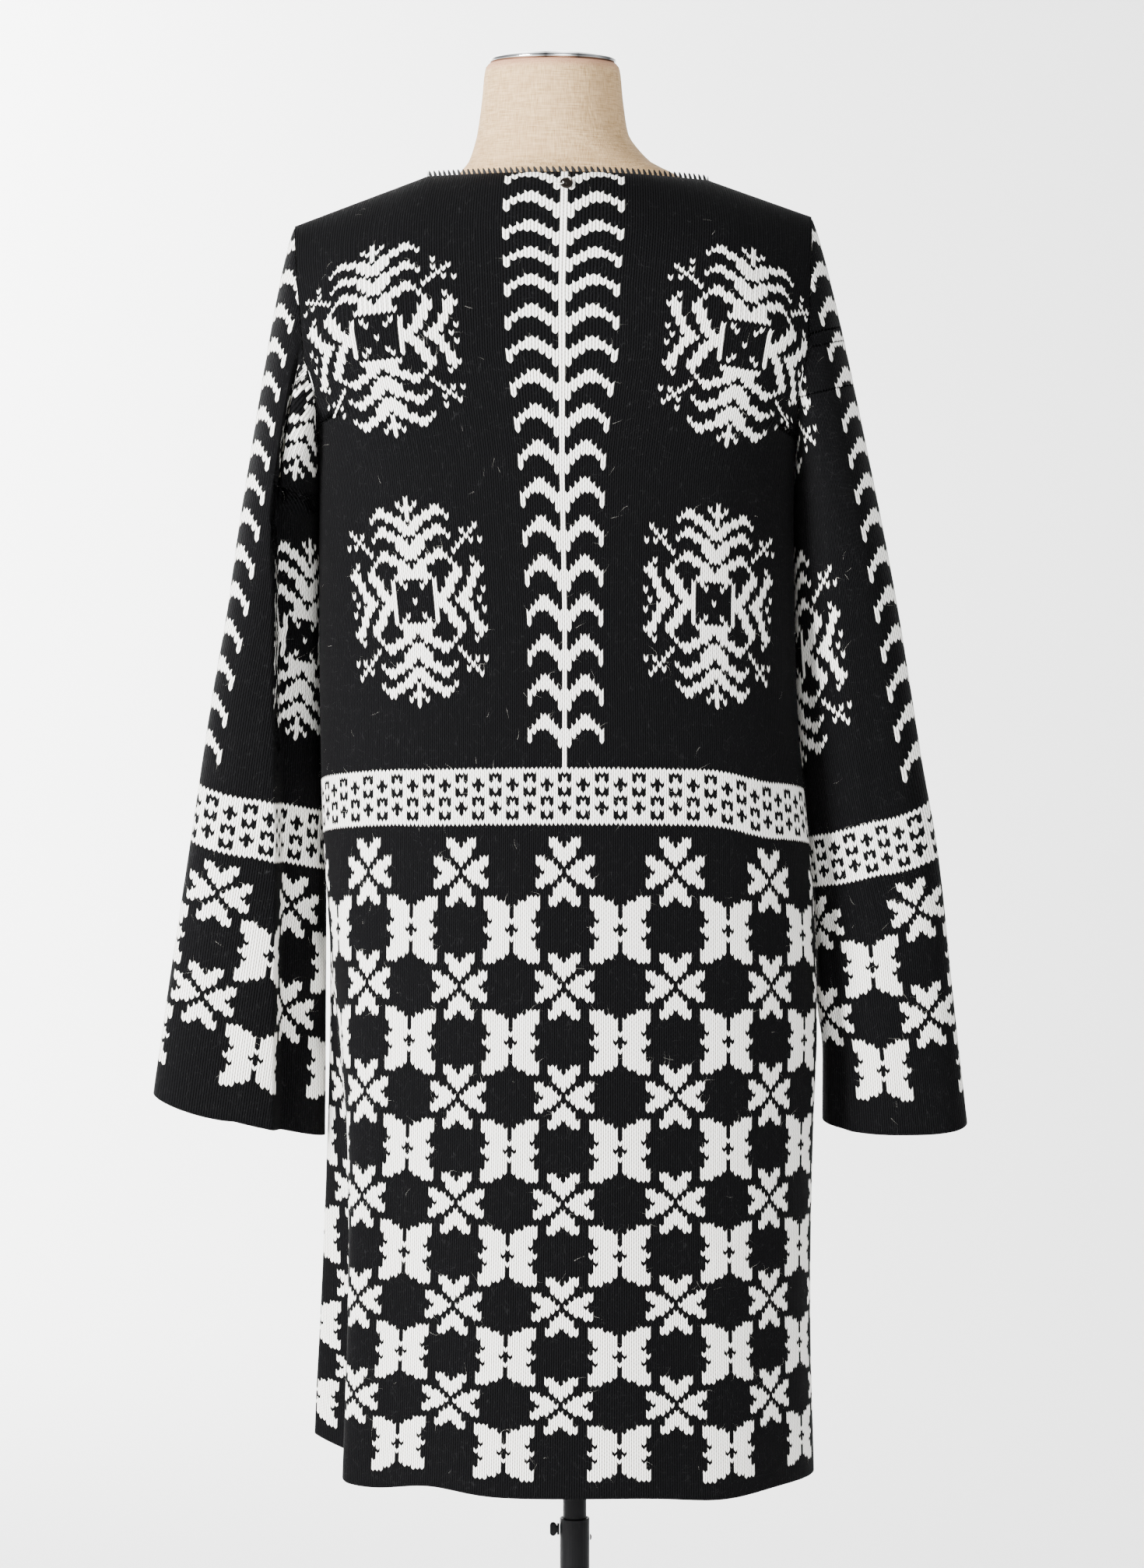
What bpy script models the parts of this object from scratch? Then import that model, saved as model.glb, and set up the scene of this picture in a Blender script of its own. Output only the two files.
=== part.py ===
# Long knitted cardigan worn by a limbless dress form on a stand.
# Units are metres, +Z is up and the origin is the centre of the base plate's underside.
# The front opening faces -Y, and +X is the wearer's left.

import math

import bmesh
import bpy
import numpy as np

# Cloth
WALL = 0.002  # knitted wall
SEAM_HALF = 0.0002  # half of the gap between two panels at a seam
SLEEVE_SEAM = 0.0006  # gap between an armhole and its sleeve
SPINE_X = 0.006  # the centre back, a little to the wearer's left of the pole

# Neck and shoulder line, per side: corner of the neck and tip of the shoulder
NECK_BACK_Y = 0.066
NECK_BACK_Z = 1.408
NECK_VIRTUAL_Y = -0.030  # where the front panels would end at the centre with no neck cut
NECK_CORNER_Y = 0.012
NECK_SHARE = 0.30  # share of the columns that the neck takes
NECK_DROP = math.radians(72)  # how far down the front neck is cut, as an angle of the shoulder's round
CORNER = {"left": (0.108, 1.409), "right": (-0.098, 1.406)}
TIP = {"left": (0.207, 1.373), "right": (-0.175, 1.380)}

# Lengths down the centre line, from the neck
ROUND_ARC = 0.1155  # over the shoulder's round, down to the middle of the armhole
UNDERARM_ARC = 0.1755
BAND_ARC = 0.4416  # the patterned band
HEM_ARC = 0.9675
MIDDLE_Z = 1.300  # height where the shoulder's round ends

# Armhole: how far it reaches to the back and the front at its middle
ARMHOLE_REACH = {"back": 0.056, "front": 0.050}
DROOP = ((0.1155, 0.028), (0.1755, 0.024), (0.4416, 0.015), (0.9675, 0.0))  # arc, how much lower the side is

# Body below the shoulder's round: height, left side, right side, depth of back and front from the pole,
# and how much fuller than an ellipse the section is
BODY_COLUMNS = ("z", "left", "right", "back", "front", "full")
BODY = (
    (0.440, 0.194, -0.178, 0.108, 0.110, 0.00),
    (0.576, 0.189, -0.175, 0.107, 0.111, 0.00),
    (0.703, 0.187, -0.177, 0.106, 0.113, 0.00),
    (0.789, 0.187, -0.180, 0.104, 0.114, 0.01),
    (0.905, 0.187, -0.176, 0.102, 0.117, 0.02),
    (1.020, 0.189, -0.166, 0.101, 0.121, 0.05),
    (1.136, 0.190, -0.163, 0.103, 0.124, 0.10),
    (1.200, 0.190, -0.163, 0.102, 0.120, 0.15),
    (1.240, 0.192, -0.166, 0.101, 0.115, 0.18),
    (1.270, 0.201, -0.174, 0.101, 0.110, 0.21),
    (1.300, 0.2125, -0.183, 0.100, 0.104, 0.24),
)

# Soft fold at the left side: the side seam is drawn in between a ridge on the back and a lobe on the front
FOLD_TOP = 0.98
FOLD_FULL = 0.50
FOLD_RIDGE = 0.009
FOLD_TROUGH = 0.029
FOLD_LOBE = 0.014

# Hem: lifts of the lower edge, as share across, height, width and panel
HEM_FADE = 0.14  # the lifts die out over this height
HEM_COLUMNS = ("panel", "at", "lift", "width")
HEM_LIFTS = (
    ("back", -0.42, -0.005, 0.16),
    ("back", 0.36, 0.006, 0.12),
    ("back", 0.72, 0.004, 0.16),
    ("front", 0.80, 0.015, 0.30),
    ("front", 0.15, 0.006, 0.30),
    ("front", -0.30, 0.006, 0.30),
)
SEAM_LIFT = 0.010  # left side seam at the hem
OPENING_TOP = 0.003  # half gap between the two fronts, at the neck and at the hem
OPENING_HEM = 0.011

# Sleeves: height, outer and inner edge seen from behind, middle and half of the depth, row tilt
SLEEVE_COLUMNS = ("z", "outer", "inner", "middle", "depth", "tilt")
SLEEVE = {
    "left": (
        (0.700, 0.3150, 0.1905, -0.026, 0.042, 0.010),
        (0.784, 0.3035, 0.1900, -0.028, 0.046, 0.010),
        (0.900, 0.2875, 0.1898, -0.030, 0.054, 0.010),
        (1.017, 0.2715, 0.1915, -0.030, 0.061, 0.010),
        (1.075, 0.2605, 0.1920, -0.024, 0.063, 0.010),
        (1.150, 0.2490, 0.1922, -0.012, 0.063, 0.008),
        (1.250, 0.2310, 0.1924, -0.002, 0.060, 0.004),
    ),
    "right": (
        (0.700, -0.2925, -0.1850, -0.018, 0.046, 0.000),
        (0.784, -0.2825, -0.1850, -0.020, 0.048, 0.003),
        (0.900, -0.2700, -0.1800, -0.026, 0.054, 0.006),
        (0.957, -0.2615, -0.1745, -0.028, 0.058, 0.008),
        (1.017, -0.2520, -0.1690, -0.028, 0.061, 0.008),
        (1.075, -0.2425, -0.1670, -0.024, 0.063, 0.008),
        (1.150, -0.2280, -0.1660, -0.012, 0.063, 0.008),
        (1.250, -0.2065, -0.1670, -0.002, 0.060, 0.004),
    ),
}
SLEEVE_CAP_Z = 1.150  # the cap runs from the armhole down to here
CUFF_Z = {"left": 0.7145, "right": 0.7110}
CUFF_SAG = {"left": 0.002, "right": 0.007}  # how much lower the cuff hangs at the back
# Long folds in the sleeves: angle from the outer edge over the back, width, share taken off the depth, start height
SLEEVE_FOLDS = {"left": (110.0, 7.0, 0.42, 1.17), "right": (128.0, 14.0, 0.25, 1.12)}

# Dress form: height, centre, half width, depth of back and front, roundness of the section
FORM_COLUMNS = ("z", "centre", "half", "back", "front", "power")
FORM = (
    (0.796, 0.006, 0.146, 0.082, 0.084, 2.2),
    (0.800, 0.006, 0.153, 0.089, 0.091, 2.2),
    (0.812, 0.006, 0.157, 0.093, 0.095, 2.2),
    (0.855, 0.006, 0.158, 0.095, 0.098, 2.2),
    (0.910, 0.006, 0.152, 0.093, 0.096, 2.2),
    (0.980, 0.007, 0.133, 0.080, 0.088, 2.1),
    (1.040, 0.009, 0.119, 0.072, 0.087, 2.1),
    (1.100, 0.011, 0.133, 0.083, 0.103, 2.1),
    (1.150, 0.012, 0.145, 0.090, 0.115, 2.1),
    (1.200, 0.012, 0.150, 0.094, 0.111, 2.1),
    (1.250, 0.012, 0.155, 0.093, 0.098, 2.1),
    (1.300, 0.011, 0.164, 0.085, 0.083, 2.1),
    (1.340, 0.009, 0.170, 0.070, 0.062, 2.1),
    (1.362, 0.008, 0.171, 0.057, 0.047, 2.0),
    (1.376, 0.0070, 0.1680, 0.050, 0.040, 2.0),
    (1.385, 0.0075, 0.1570, 0.046, 0.035, 2.0),
    (1.394, 0.0090, 0.1302, 0.044, 0.031, 2.0),
    (1.402, 0.0075, 0.0980, 0.045, 0.034, 2.0),
    (1.409, 0.005, 0.084, 0.050, 0.046, 2.0),
    (1.420, 0.011, 0.068, 0.054, 0.053, 2.0),
    (1.438, 0.016, 0.057, 0.053, 0.053, 2.0),
    (1.465, 0.0165, 0.0525, 0.051, 0.051, 2.0),
    (1.486, 0.0165, 0.0505, 0.0495, 0.0495, 2.0),
    (1.4915, 0.0165, 0.0490, 0.0480, 0.0480, 2.0),
    (1.4935, 0.0165, 0.0465, 0.0455, 0.0455, 2.0),
)
FORM_SIDES = 36
CAP_RADIUS = 0.0470
CAP_THICK = 0.0060
CAP_CENTRE = 0.0165
FIT_GAP = 0.0003

# Stand
PLATE_RADIUS = 0.155
PLATE_RIM = 0.006
PLATE_DOME = 0.010
SOCKET_RADIUS = 0.0170
SOCKET_TOP = 0.036
SOCKET_FLOOR = 0.008
TUBE_RADIUS = 0.0110
TUBE_BORE = 0.0092
TUBE_TOP = 0.4135
POLE_RADIUS = 0.0087
POLE_BOTTOM = 0.110
POLE_SEAT = 0.870  # the pole's end inside the form
ROUND_SIDES = 32

# Clamp: a boss on the tube's left side takes a small thumb screw
CLAMP_Z = 0.4050
BOSS_RADIUS = 0.0042
BOSS_LENGTH = 0.0018
BOSS_BORE = 0.0032
SCREW_RADIUS = 0.0026
THUMB_COLUMNS = ("along", "span", "half_thick")
THUMB = (
    (0.0000, 0.0032, 0.0020),
    (0.0010, 0.0045, 0.0019),
    (0.0024, 0.0052, 0.0017),
    (0.0040, 0.0048, 0.0015),
    (0.0050, 0.0034, 0.0013),
)
THUMB_TURN = math.radians(8)
RIVET_RADIUS = 0.0022
RIVET_PROUD = 0.0012
RIVET_Z = 0.3990

# Badge: a small metal stud that hangs at the centre back of the neck
BADGE_RADIUS = 0.0047
BADGE_THICK = 0.0014
BADGE_ARC = 0.0170  # how far down the back it sits
BADGE_SIDES = 24

# How finely the cloth is divided
ROUND_ROWS = 6
ARMHOLE_ROWS = 6
LOWER_ROWS = 13
BACK_NECK_SHARES = (0.075, 0.15, 0.225)
FRONT_NECK_SHARES = (0.07, 0.14, 0.20, 0.24, 0.27, 0.292)
SHARES = (0.30, 0.38, 0.46, 0.54, 0.62, 0.70, 0.78, 0.86, 0.93, 1.0)
CAP_ROWS = 8
TUBE_ROWS = 9


def smooth_read(columns, table, name, at):
    """Reads a named column between the rows of a table, with an even slope through each row."""
    place = np.array([row[0] for row in table])
    value = np.array([row[columns.index(name)] for row in table])
    step = np.diff(value) / np.diff(place)
    slope = np.concatenate([step[:1], (step[:-1] + step[1:]) / 2, step[-1:]])
    at = float(np.clip(at, place[0], place[-1]))
    low = int(np.clip(np.searchsorted(place, at) - 1, 0, len(place) - 2))
    width = place[low + 1] - place[low]
    t = (at - place[low]) / width
    start = (1 + 2 * t) * (1 - t) ** 2 * value[low] + t * (1 - t) ** 2 * width * slope[low]
    end = t * t * (3 - 2 * t) * value[low + 1] + t * t * (t - 1) * width * slope[low + 1]
    return float(start + end)


def ramp(t):
    t = min(max(t, 0.0), 1.0)
    return t * t * (3 - 2 * t)


def bump(t):
    return math.exp(-t * t)


def side_name(f):
    return "left" if f >= 0 else "right"


def droop(arc):
    return smooth_read(("arc", "droop"), DROOP, "droop", arc)


def fold_at_side(panel, f, z):
    """How far the left side fold moves a point in X and Y."""
    if f <= 0 or z > FOLD_TOP:
        return 0.0, 0.0
    strength = ramp((FOLD_TOP - z) / (FOLD_TOP - FOLD_FULL))
    if panel == "back":
        push = FOLD_RIDGE * bump((f - 0.62) / 0.15) - FOLD_TROUGH * ramp((f - 0.66) / 0.34)
        pull = 0.006 * bump((f - 0.66) / 0.14)
    else:
        push = FOLD_LOBE * bump((f - 0.80) / 0.13) - FOLD_TROUGH * ramp((f - 0.80) / 0.20)
        pull = 0.0
    return strength * push, strength * (pull - 0.004 * ramp((f - 0.8) / 0.2))


def hem_lift(panel, f, arc):
    near = ramp(1 - (HEM_ARC - arc) / HEM_FADE)
    lift = SEAM_LIFT * ramp((f - 0.6) / 0.4)
    for row in HEM_LIFTS:
        if row[0] == panel:
            lift += row[2] * bump((f - row[1]) / row[3]) * (1 - ramp((abs(f) - 0.8) / 0.2))
    return near * lift


def armhole_turn(panel, arc, depth, full):
    """The angle round the section at which the panel ends: at the armhole's edge, or at the side below it."""
    if arc >= UNDERARM_ARC:
        return math.pi / 2
    t = (arc - ROUND_ARC) / (UNDERARM_ARC - ROUND_ARC)
    edge = ARMHOLE_REACH[panel] * math.sqrt(1 - t * t)
    low, high = 0.0, math.pi / 2
    for _ in range(30):
        turn = (low + high) / 2
        if depth * math.cos(turn) * (1 + full * math.sin(turn) ** 2) > edge:
            low = turn
        else:
            high = turn
    return high


def lower_point(panel, f, arc):
    """A point of the body from the middle of the armhole down. f is -1 at the right side and 1 at the left."""
    side = side_name(f)
    across = abs(f)
    z = MIDDLE_Z - (arc - ROUND_ARC)
    depth = smooth_read(BODY_COLUMNS, BODY, panel, z)
    full = smooth_read(BODY_COLUMNS, BODY, "full", z)
    half = smooth_read(BODY_COLUMNS, BODY, side, z) - SPINE_X
    turn = across * math.pi / 2
    if across > 0.5:
        # Only the outer half of the columns draws in beside the armhole.
        turn = math.pi / 4 + (across - 0.5) * 2 * (armhole_turn(panel, arc, depth, full) - math.pi / 4)
    x = SPINE_X + half * math.sin(turn) * (1 + full * math.cos(turn) ** 2)
    y = depth * math.cos(turn) * (1 + full * math.sin(turn) ** 2)
    dx, dy = fold_at_side(panel, f, z)
    facing = 1 if panel == "back" else -1
    return np.array((x + dx, facing * (y + SEAM_HALF) + dy, z - droop(arc) * across**2 + hem_lift(panel, f, arc)))


def top_point(panel, f):
    """A point of the neck edge or of the shoulder seam. On a front, the neck edge is where it would be uncut."""
    side = side_name(f)
    across = abs(f)
    corner_x, corner_z = CORNER[side]
    tip_x, tip_z = TIP[side]
    facing = 1 if panel == "back" else -1
    if across > NECK_SHARE:
        t = (across - NECK_SHARE) / (1 - NECK_SHARE)
        x = corner_x + (tip_x - corner_x) * t
        z = corner_z + (tip_z - corner_z) * t
        y = NECK_CORNER_Y * (1 - t)
    else:
        t = across / NECK_SHARE
        x = SPINE_X + (corner_x - SPINE_X) * t
        z = NECK_BACK_Z + (corner_z - NECK_BACK_Z) * t * t
        middle = NECK_BACK_Y if panel == "back" else NECK_VIRTUAL_Y
        y = NECK_CORNER_Y + (middle - NECK_CORNER_Y) * math.cos(t * math.pi / 2)
    return np.array((x, y + facing * SEAM_HALF, z))


def round_point(panel, f, turn):
    """A point on the shoulder's round: turn is 0 at the top edge and a right angle at the middle of the armhole."""
    top = top_point(panel, f)
    low = lower_point(panel, f, ROUND_ARC)
    x = top[0] + (low[0] - top[0]) * (1 - math.cos(turn))
    y = top[1] + (low[1] - top[1]) * math.sin(turn)
    z = top[2] + (low[2] - top[2]) * (1 - math.cos(turn))
    return np.array((x, y, z))


def neck_turn(f):
    """Where the neck cut starts a front panel, as an angle of the shoulder's round."""
    t = abs(f) / NECK_SHARE
    return NECK_DROP * math.sqrt(1 - t * t) if t < 1 else 0.0


def panel_surface(panel, f, v):
    """A point of a panel before its neck is cut. v is an angle below zero on the shoulder's round, then a length."""
    if v <= 0:
        return round_point(panel, f, v + math.pi / 2)
    return lower_point(panel, f, ROUND_ARC + v)


def panel_place(panel, f, row):
    """Where a row of divisions lies down the panel, from the top edge to the hem."""
    armhole = UNDERARM_ARC - ROUND_ARC
    if row <= ROUND_ROWS:
        start = neck_turn(f) if panel == "front" else 0.0
        return (start - math.pi / 2) * (1 - row / ROUND_ROWS)
    if row <= ROUND_ROWS + ARMHOLE_ROWS:
        return armhole * math.sin(math.pi / 2 * (row - ROUND_ROWS) / ARMHOLE_ROWS)
    return armhole + (HEM_ARC - UNDERARM_ARC) * (row - ROUND_ROWS - ARMHOLE_ROWS) / LOWER_ROWS


def opening_shift(panel, f, z):
    """How far a front stands off the middle, so that the two fronts hang a little apart."""
    if panel == "back":
        return 0.0
    gap = OPENING_TOP + (OPENING_HEM - OPENING_TOP) * ramp((1.35 - z) / 0.9)
    return math.copysign(gap * (1 - ramp(abs(f) / 0.5)), f)


def wall_normal(point_at, u, v, du, dv):
    """The surface's normal, from two short steps along it. The steps may be negative at an edge."""
    here = point_at(u, v)
    across = (point_at(u + du, v) - here) / du
    down = (point_at(u, v + dv) - here) / dv
    normal = np.cross(across, down)
    return normal / np.linalg.norm(normal)


def new_material(name, colour, roughness, metallic=0.0):
    material = bpy.data.materials.new(name)
    material.use_nodes = True
    shader = material.node_tree.nodes["Principled BSDF"]
    shader.inputs["Base Color"].default_value = (*colour, 1)
    shader.inputs["Roughness"].default_value = roughness
    shader.inputs["Metallic"].default_value = metallic
    return material


def new_object(name, points, faces, material):
    mesh = bpy.data.meshes.new(name)
    mesh.from_pydata([tuple(point) for point in points], [], faces)
    work = bmesh.new()
    work.from_mesh(mesh)
    bmesh.ops.recalc_face_normals(work, faces=work.faces)
    if work.calc_volume(signed=True) < 0:
        bmesh.ops.reverse_faces(work, faces=work.faces)
    work.to_mesh(mesh)
    work.free()
    mesh.shade_smooth()
    mesh.set_sharp_from_angle(angle=math.radians(40))
    mesh.materials.append(material)
    obj = bpy.data.objects.new(name, mesh)
    bpy.context.collection.objects.link(obj)
    return obj


def cloth_panel(name, outer, inner, material):
    """A closed wall from an outer and an inner sheet of points, both as rows of equal length."""
    rows, columns = len(outer), len(outer[0])
    points = [p for row in outer for p in row] + [p for row in inner for p in row]
    back = rows * columns

    def at(i, j):
        return i * columns + j

    faces = []
    for i in range(rows - 1):
        for j in range(columns - 1):
            quad = (at(i, j), at(i, j + 1), at(i + 1, j + 1), at(i + 1, j))
            faces.append(quad)
            faces.append(tuple(back + k for k in reversed(quad)))
    rim = [at(0, j) for j in range(columns)] + [at(i, columns - 1) for i in range(1, rows)]
    rim += [at(rows - 1, j) for j in range(columns - 2, -1, -1)] + [at(i, 0) for i in range(rows - 2, 0, -1)]
    for k, start in enumerate(rim):
        end = rim[(k + 1) % len(rim)]
        faces.append((end, start, back + start, back + end))
    return new_object(name, points, faces, material)


def cloth_tube(name, outer, inner, material):
    """A closed wall round a tube, from outer and inner rings of points."""
    rings, around = len(outer), len(outer[0])
    points = [p for ring in outer for p in ring] + [p for ring in inner for p in ring]
    back = rings * around

    def at(i, j):
        return i * around + j % around

    faces = []
    for j in range(around):
        for i in range(rings - 1):
            quad = (at(i, j), at(i, j + 1), at(i + 1, j + 1), at(i + 1, j))
            faces.append(quad)
            faces.append(tuple(back + k for k in reversed(quad)))
        for i in (0, rings - 1):
            faces.append((at(i, j), at(i, j + 1), back + at(i, j + 1), back + at(i, j)))
    return new_object(name, points, faces, material)


def make_panel(name, panel, shares, material):
    last = ROUND_ROWS + ARMHOLE_ROWS + LOWER_ROWS
    facing = 1 if panel == "back" else -1
    outer, inner = [], []
    for row in range(last + 1):
        line, inset = [], []
        for f in shares:
            v = panel_place(panel, f, row)
            point = panel_surface(panel, f, v)
            du = -1e-4 if f > 0 else 1e-4
            dv = -1e-4 if row in (ROUND_ROWS, last) else 1e-4
            normal = wall_normal(lambda a, b: panel_surface(panel, a, b), f, v, du, dv)
            if abs(f) == 1 and row >= ROUND_ROWS + ARMHOLE_ROWS:
                normal[1] = 0
                normal /= np.linalg.norm(normal)
            outward = np.array((point[0] - SPINE_X, point[1] + facing * 0.05, 0.15 if row < ROUND_ROWS else 0.0))
            point[0] += opening_shift(panel, f, point[2])
            line.append(point)
            inset.append(point - math.copysign(WALL, np.dot(normal, outward)) * normal)
        outer.append(line)
        inner.append(inset)
    return cloth_panel(name, outer, inner, material)


def armhole_point(side, turn):
    """The armhole's edge. turn is 0 at the shoulder tip, a quarter at the back and a half at the underarm."""
    f = 1.0 if side == "left" else -1.0
    panel = "back" if turn <= 0.5 else "front"
    up = min(turn, 1 - turn) * 4
    if up <= 1:
        point = round_point(panel, f, up * math.pi / 2)
    else:
        swing = (up - 1) * math.pi / 2
        point = lower_point(panel, f, ROUND_ARC + (UNDERARM_ARC - ROUND_ARC) * math.sin(swing))
    point[0] += f * SLEEVE_SEAM
    return point


def sleeve_ring_point(side, turn, z):
    """A point of the hanging tube: turn is 0 at the outer edge, a quarter at the back and a half at the body."""
    table = SLEEVE[side]
    outer = smooth_read(SLEEVE_COLUMNS, table, "outer", z)
    inner = smooth_read(SLEEVE_COLUMNS, table, "inner", z)
    middle = smooth_read(SLEEVE_COLUMNS, table, "middle", z)
    depth = smooth_read(SLEEVE_COLUMNS, table, "depth", z)
    tilt = smooth_read(SLEEVE_COLUMNS, table, "tilt", z)
    angle = 2 * math.pi * turn
    fold_angle, fold_width, fold_share, fold_top = SLEEVE_FOLDS[side]
    strength = ramp((fold_top - z) / 0.10)
    taken = strength * fold_share * ramp((math.degrees(angle) - fold_angle) / fold_width) if turn < 0.5 else 0.0
    x = (outer + inner) / 2 + (outer - inner) / 2 * math.cos(angle)
    y = middle + depth * math.sin(angle) * (1 - taken)
    sag = CUFF_SAG[side] * ramp((0.86 - z) / 0.15) * max(0.0, math.sin(angle))
    return np.array((x, y, z + tilt * math.cos(angle) - sag))


def sleeve_point(side, turn, row):
    """A point of the sleeve. row counts the divisions from the armhole to the cuff."""
    if row >= CAP_ROWS:
        t = (row - CAP_ROWS) / TUBE_ROWS
        return sleeve_ring_point(side, turn, SLEEVE_CAP_Z + (CUFF_Z[side] - SLEEVE_CAP_Z) * t)
    start = armhole_point(side, turn)
    end = sleeve_ring_point(side, turn, SLEEVE_CAP_Z)
    above = sleeve_ring_point(side, turn, SLEEVE_CAP_Z + 0.01)
    length = np.linalg.norm(end - start)
    sign = 1 if side == "left" else -1
    up = math.cos(2 * math.pi * turn)
    leaving = np.array((sign * 0.42 * (1 + up), 0.15 * math.sin(2 * math.pi * turn), -0.81 + 0.19 * up))
    leaving /= np.linalg.norm(leaving)
    arriving = (above - end) / np.linalg.norm(above - end)
    first = start + leaving * length * 0.12
    second = end + arriving * length * 0.40
    t = row / CAP_ROWS
    return (1 - t) ** 3 * start + 3 * t * (1 - t) ** 2 * first + 3 * t * t * (1 - t) * second + t**3 * end


def make_sleeve(side, material):
    fold_angle, fold_width = SLEEVE_FOLDS[side][:2]
    steps = 4 * ROUND_ROWS
    turns = sorted({k / steps for k in range(steps)} | {fold_angle / 360, (fold_angle + fold_width) / 360})
    last = CAP_ROWS + TUBE_ROWS
    outer, inner = [], []
    for row in range(last + 1):
        dv = 1e-3 if row < last else -1e-3
        line = [sleeve_point(side, turn, row) for turn in turns]
        middle = sum(line) / len(line)
        inset = []
        for turn, point in zip(turns, line):
            du = 1e-4 if turn < 0.5 else -1e-4
            normal = wall_normal(lambda u, v: sleeve_point(side, u, v), turn, row, du, dv)
            if row == 0 and turn in (0, 0.5):
                normal = np.array((0.0, 0.0, 1.0)) if turn == 0 else np.array((1.0, 0.0, 0.0))
            away = np.dot(normal, point - middle) > 0
            inset.append(point - (1 if away else -1) * WALL * normal)
        outer.append(line)
        inner.append(inset)
    return cloth_tube("sleeve_" + side, outer, inner, material)


def section_ring(centre, half, back, front, power, z, sides):
    """A closed ring whose section is an ellipse made fuller by its power."""
    ring = []
    for k in range(sides):
        angle = 2 * math.pi * k / sides
        c, s = math.cos(angle), math.sin(angle)
        x = centre + half * math.copysign(abs(c) ** (2 / power), c)
        y = (back if s > 0 else front) * math.copysign(abs(s) ** (2 / power), s)
        ring.append(np.array((x, y, z)))
    return ring


def round_ring(radius, z, sides, centre=0.0):
    return section_ring(centre, radius, radius, radius, 2.0, z, sides)


def turned_body(name, rings, material):
    """A closed body from rings of equal count, first to last, with both ends filled."""
    around = len(rings[0])
    points = [p for ring in rings for p in ring]
    faces = []
    for i in range(len(rings) - 1):
        for j in range(around):
            k = (j + 1) % around
            faces.append((i * around + j, i * around + k, (i + 1) * around + k, (i + 1) * around + j))
    faces.append(tuple(range(around - 1, -1, -1)))
    faces.append(tuple((len(rings) - 1) * around + j for j in range(around)))
    return new_object(name, points, faces, material)


def make_form(linen, chrome):
    # The rings run up inside the socket, out across the underside and up the torso to the neck.
    hole = POLE_RADIUS + 2 * FIT_GAP
    bottom = FORM[0][0]
    rings = [round_ring(hole, POLE_SEAT + FIT_GAP, FORM_SIDES), round_ring(hole, bottom, FORM_SIDES)]
    for z, centre, half, back, front, power in FORM:
        rings.append(section_ring(centre, half, back, front, power, z, FORM_SIDES))
    turned_body("form_body", rings, linen)
    top = FORM[-1][0] + FIT_GAP
    edge = 0.0012
    cap = [
        round_ring(CAP_RADIUS - edge, top, FORM_SIDES, CAP_CENTRE),
        round_ring(CAP_RADIUS, top + edge, FORM_SIDES, CAP_CENTRE),
        round_ring(CAP_RADIUS, top + CAP_THICK - edge, FORM_SIDES, CAP_CENTRE),
        round_ring(CAP_RADIUS - edge, top + CAP_THICK, FORM_SIDES, CAP_CENTRE),
    ]
    turned_body("neck_cap", cap, chrome)


def make_stand(black, steel):
    edge = 0.0015
    plate = [
        round_ring(PLATE_RADIUS - edge, 0.0, ROUND_SIDES),
        round_ring(PLATE_RADIUS, edge, ROUND_SIDES),
        round_ring(PLATE_RADIUS, PLATE_RIM - edge, ROUND_SIDES),
        round_ring(PLATE_RADIUS - edge, PLATE_RIM, ROUND_SIDES),
        round_ring(SOCKET_RADIUS + 0.03, PLATE_DOME - 0.001, ROUND_SIDES),
        round_ring(SOCKET_RADIUS + 0.004, PLATE_DOME, ROUND_SIDES),
        round_ring(SOCKET_RADIUS, PLATE_DOME + 0.004, ROUND_SIDES),
        round_ring(SOCKET_RADIUS, SOCKET_TOP - edge, ROUND_SIDES),
        round_ring(SOCKET_RADIUS - edge, SOCKET_TOP, ROUND_SIDES),
        round_ring(TUBE_RADIUS + 2 * FIT_GAP, SOCKET_TOP, ROUND_SIDES),
        round_ring(TUBE_RADIUS + 2 * FIT_GAP, SOCKET_FLOOR, ROUND_SIDES),
    ]
    turned_body("base_plate", plate, black)
    foot = SOCKET_FLOOR + FIT_GAP
    lip = 0.0004
    outer = [round_ring(TUBE_RADIUS, z, ROUND_SIDES) for z in (foot, TUBE_TOP - lip)]
    outer.append(round_ring(TUBE_RADIUS - lip, TUBE_TOP, ROUND_SIDES))
    inner = [round_ring(TUBE_BORE, z, ROUND_SIDES) for z in (foot, TUBE_TOP - lip, TUBE_TOP)]
    cloth_tube("outer_tube", outer, inner, black)
    pole = [round_ring(POLE_RADIUS, z, ROUND_SIDES) for z in (POLE_BOTTOM, POLE_SEAT)]
    turned_body("inner_pole", pole, black)

    # The boss stands off the side of the tube, and the thumb screw goes through it along X.
    face = TUBE_RADIUS + FIT_GAP
    outer = [round_ring(BOSS_RADIUS, z, BADGE_SIDES) for z in (0.0, BOSS_LENGTH)]
    inner = [round_ring(BOSS_BORE, z, BADGE_SIDES) for z in (0.0, BOSS_LENGTH)]
    boss = cloth_tube("clamp_boss", outer, inner, steel)
    hub = BOSS_LENGTH + FIT_GAP
    rings = [round_ring(SCREW_RADIUS, z, BADGE_SIDES) for z in (FIT_GAP, hub - 0.0001)]
    rings += [thumb_ring(hub + along, span, half) for along, span, half in THUMB]
    screw = turned_body("clamp_screw", rings, steel)
    for obj in (boss, screw):
        obj.location = (face, 0, CLAMP_Z)
        obj.rotation_euler = (0, math.pi / 2, 0)
    radii = ((RIVET_RADIUS, 0.0), (RIVET_RADIUS, RIVET_PROUD / 2), (RIVET_RADIUS / 2, RIVET_PROUD))
    rivet = turned_body("tube_rivet", [round_ring(radius, z, 16) for radius, z in radii], steel)
    rivet.location = (-face, 0, RIVET_Z)
    rivet.rotation_euler = (0, -math.pi / 2, 0)


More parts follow.
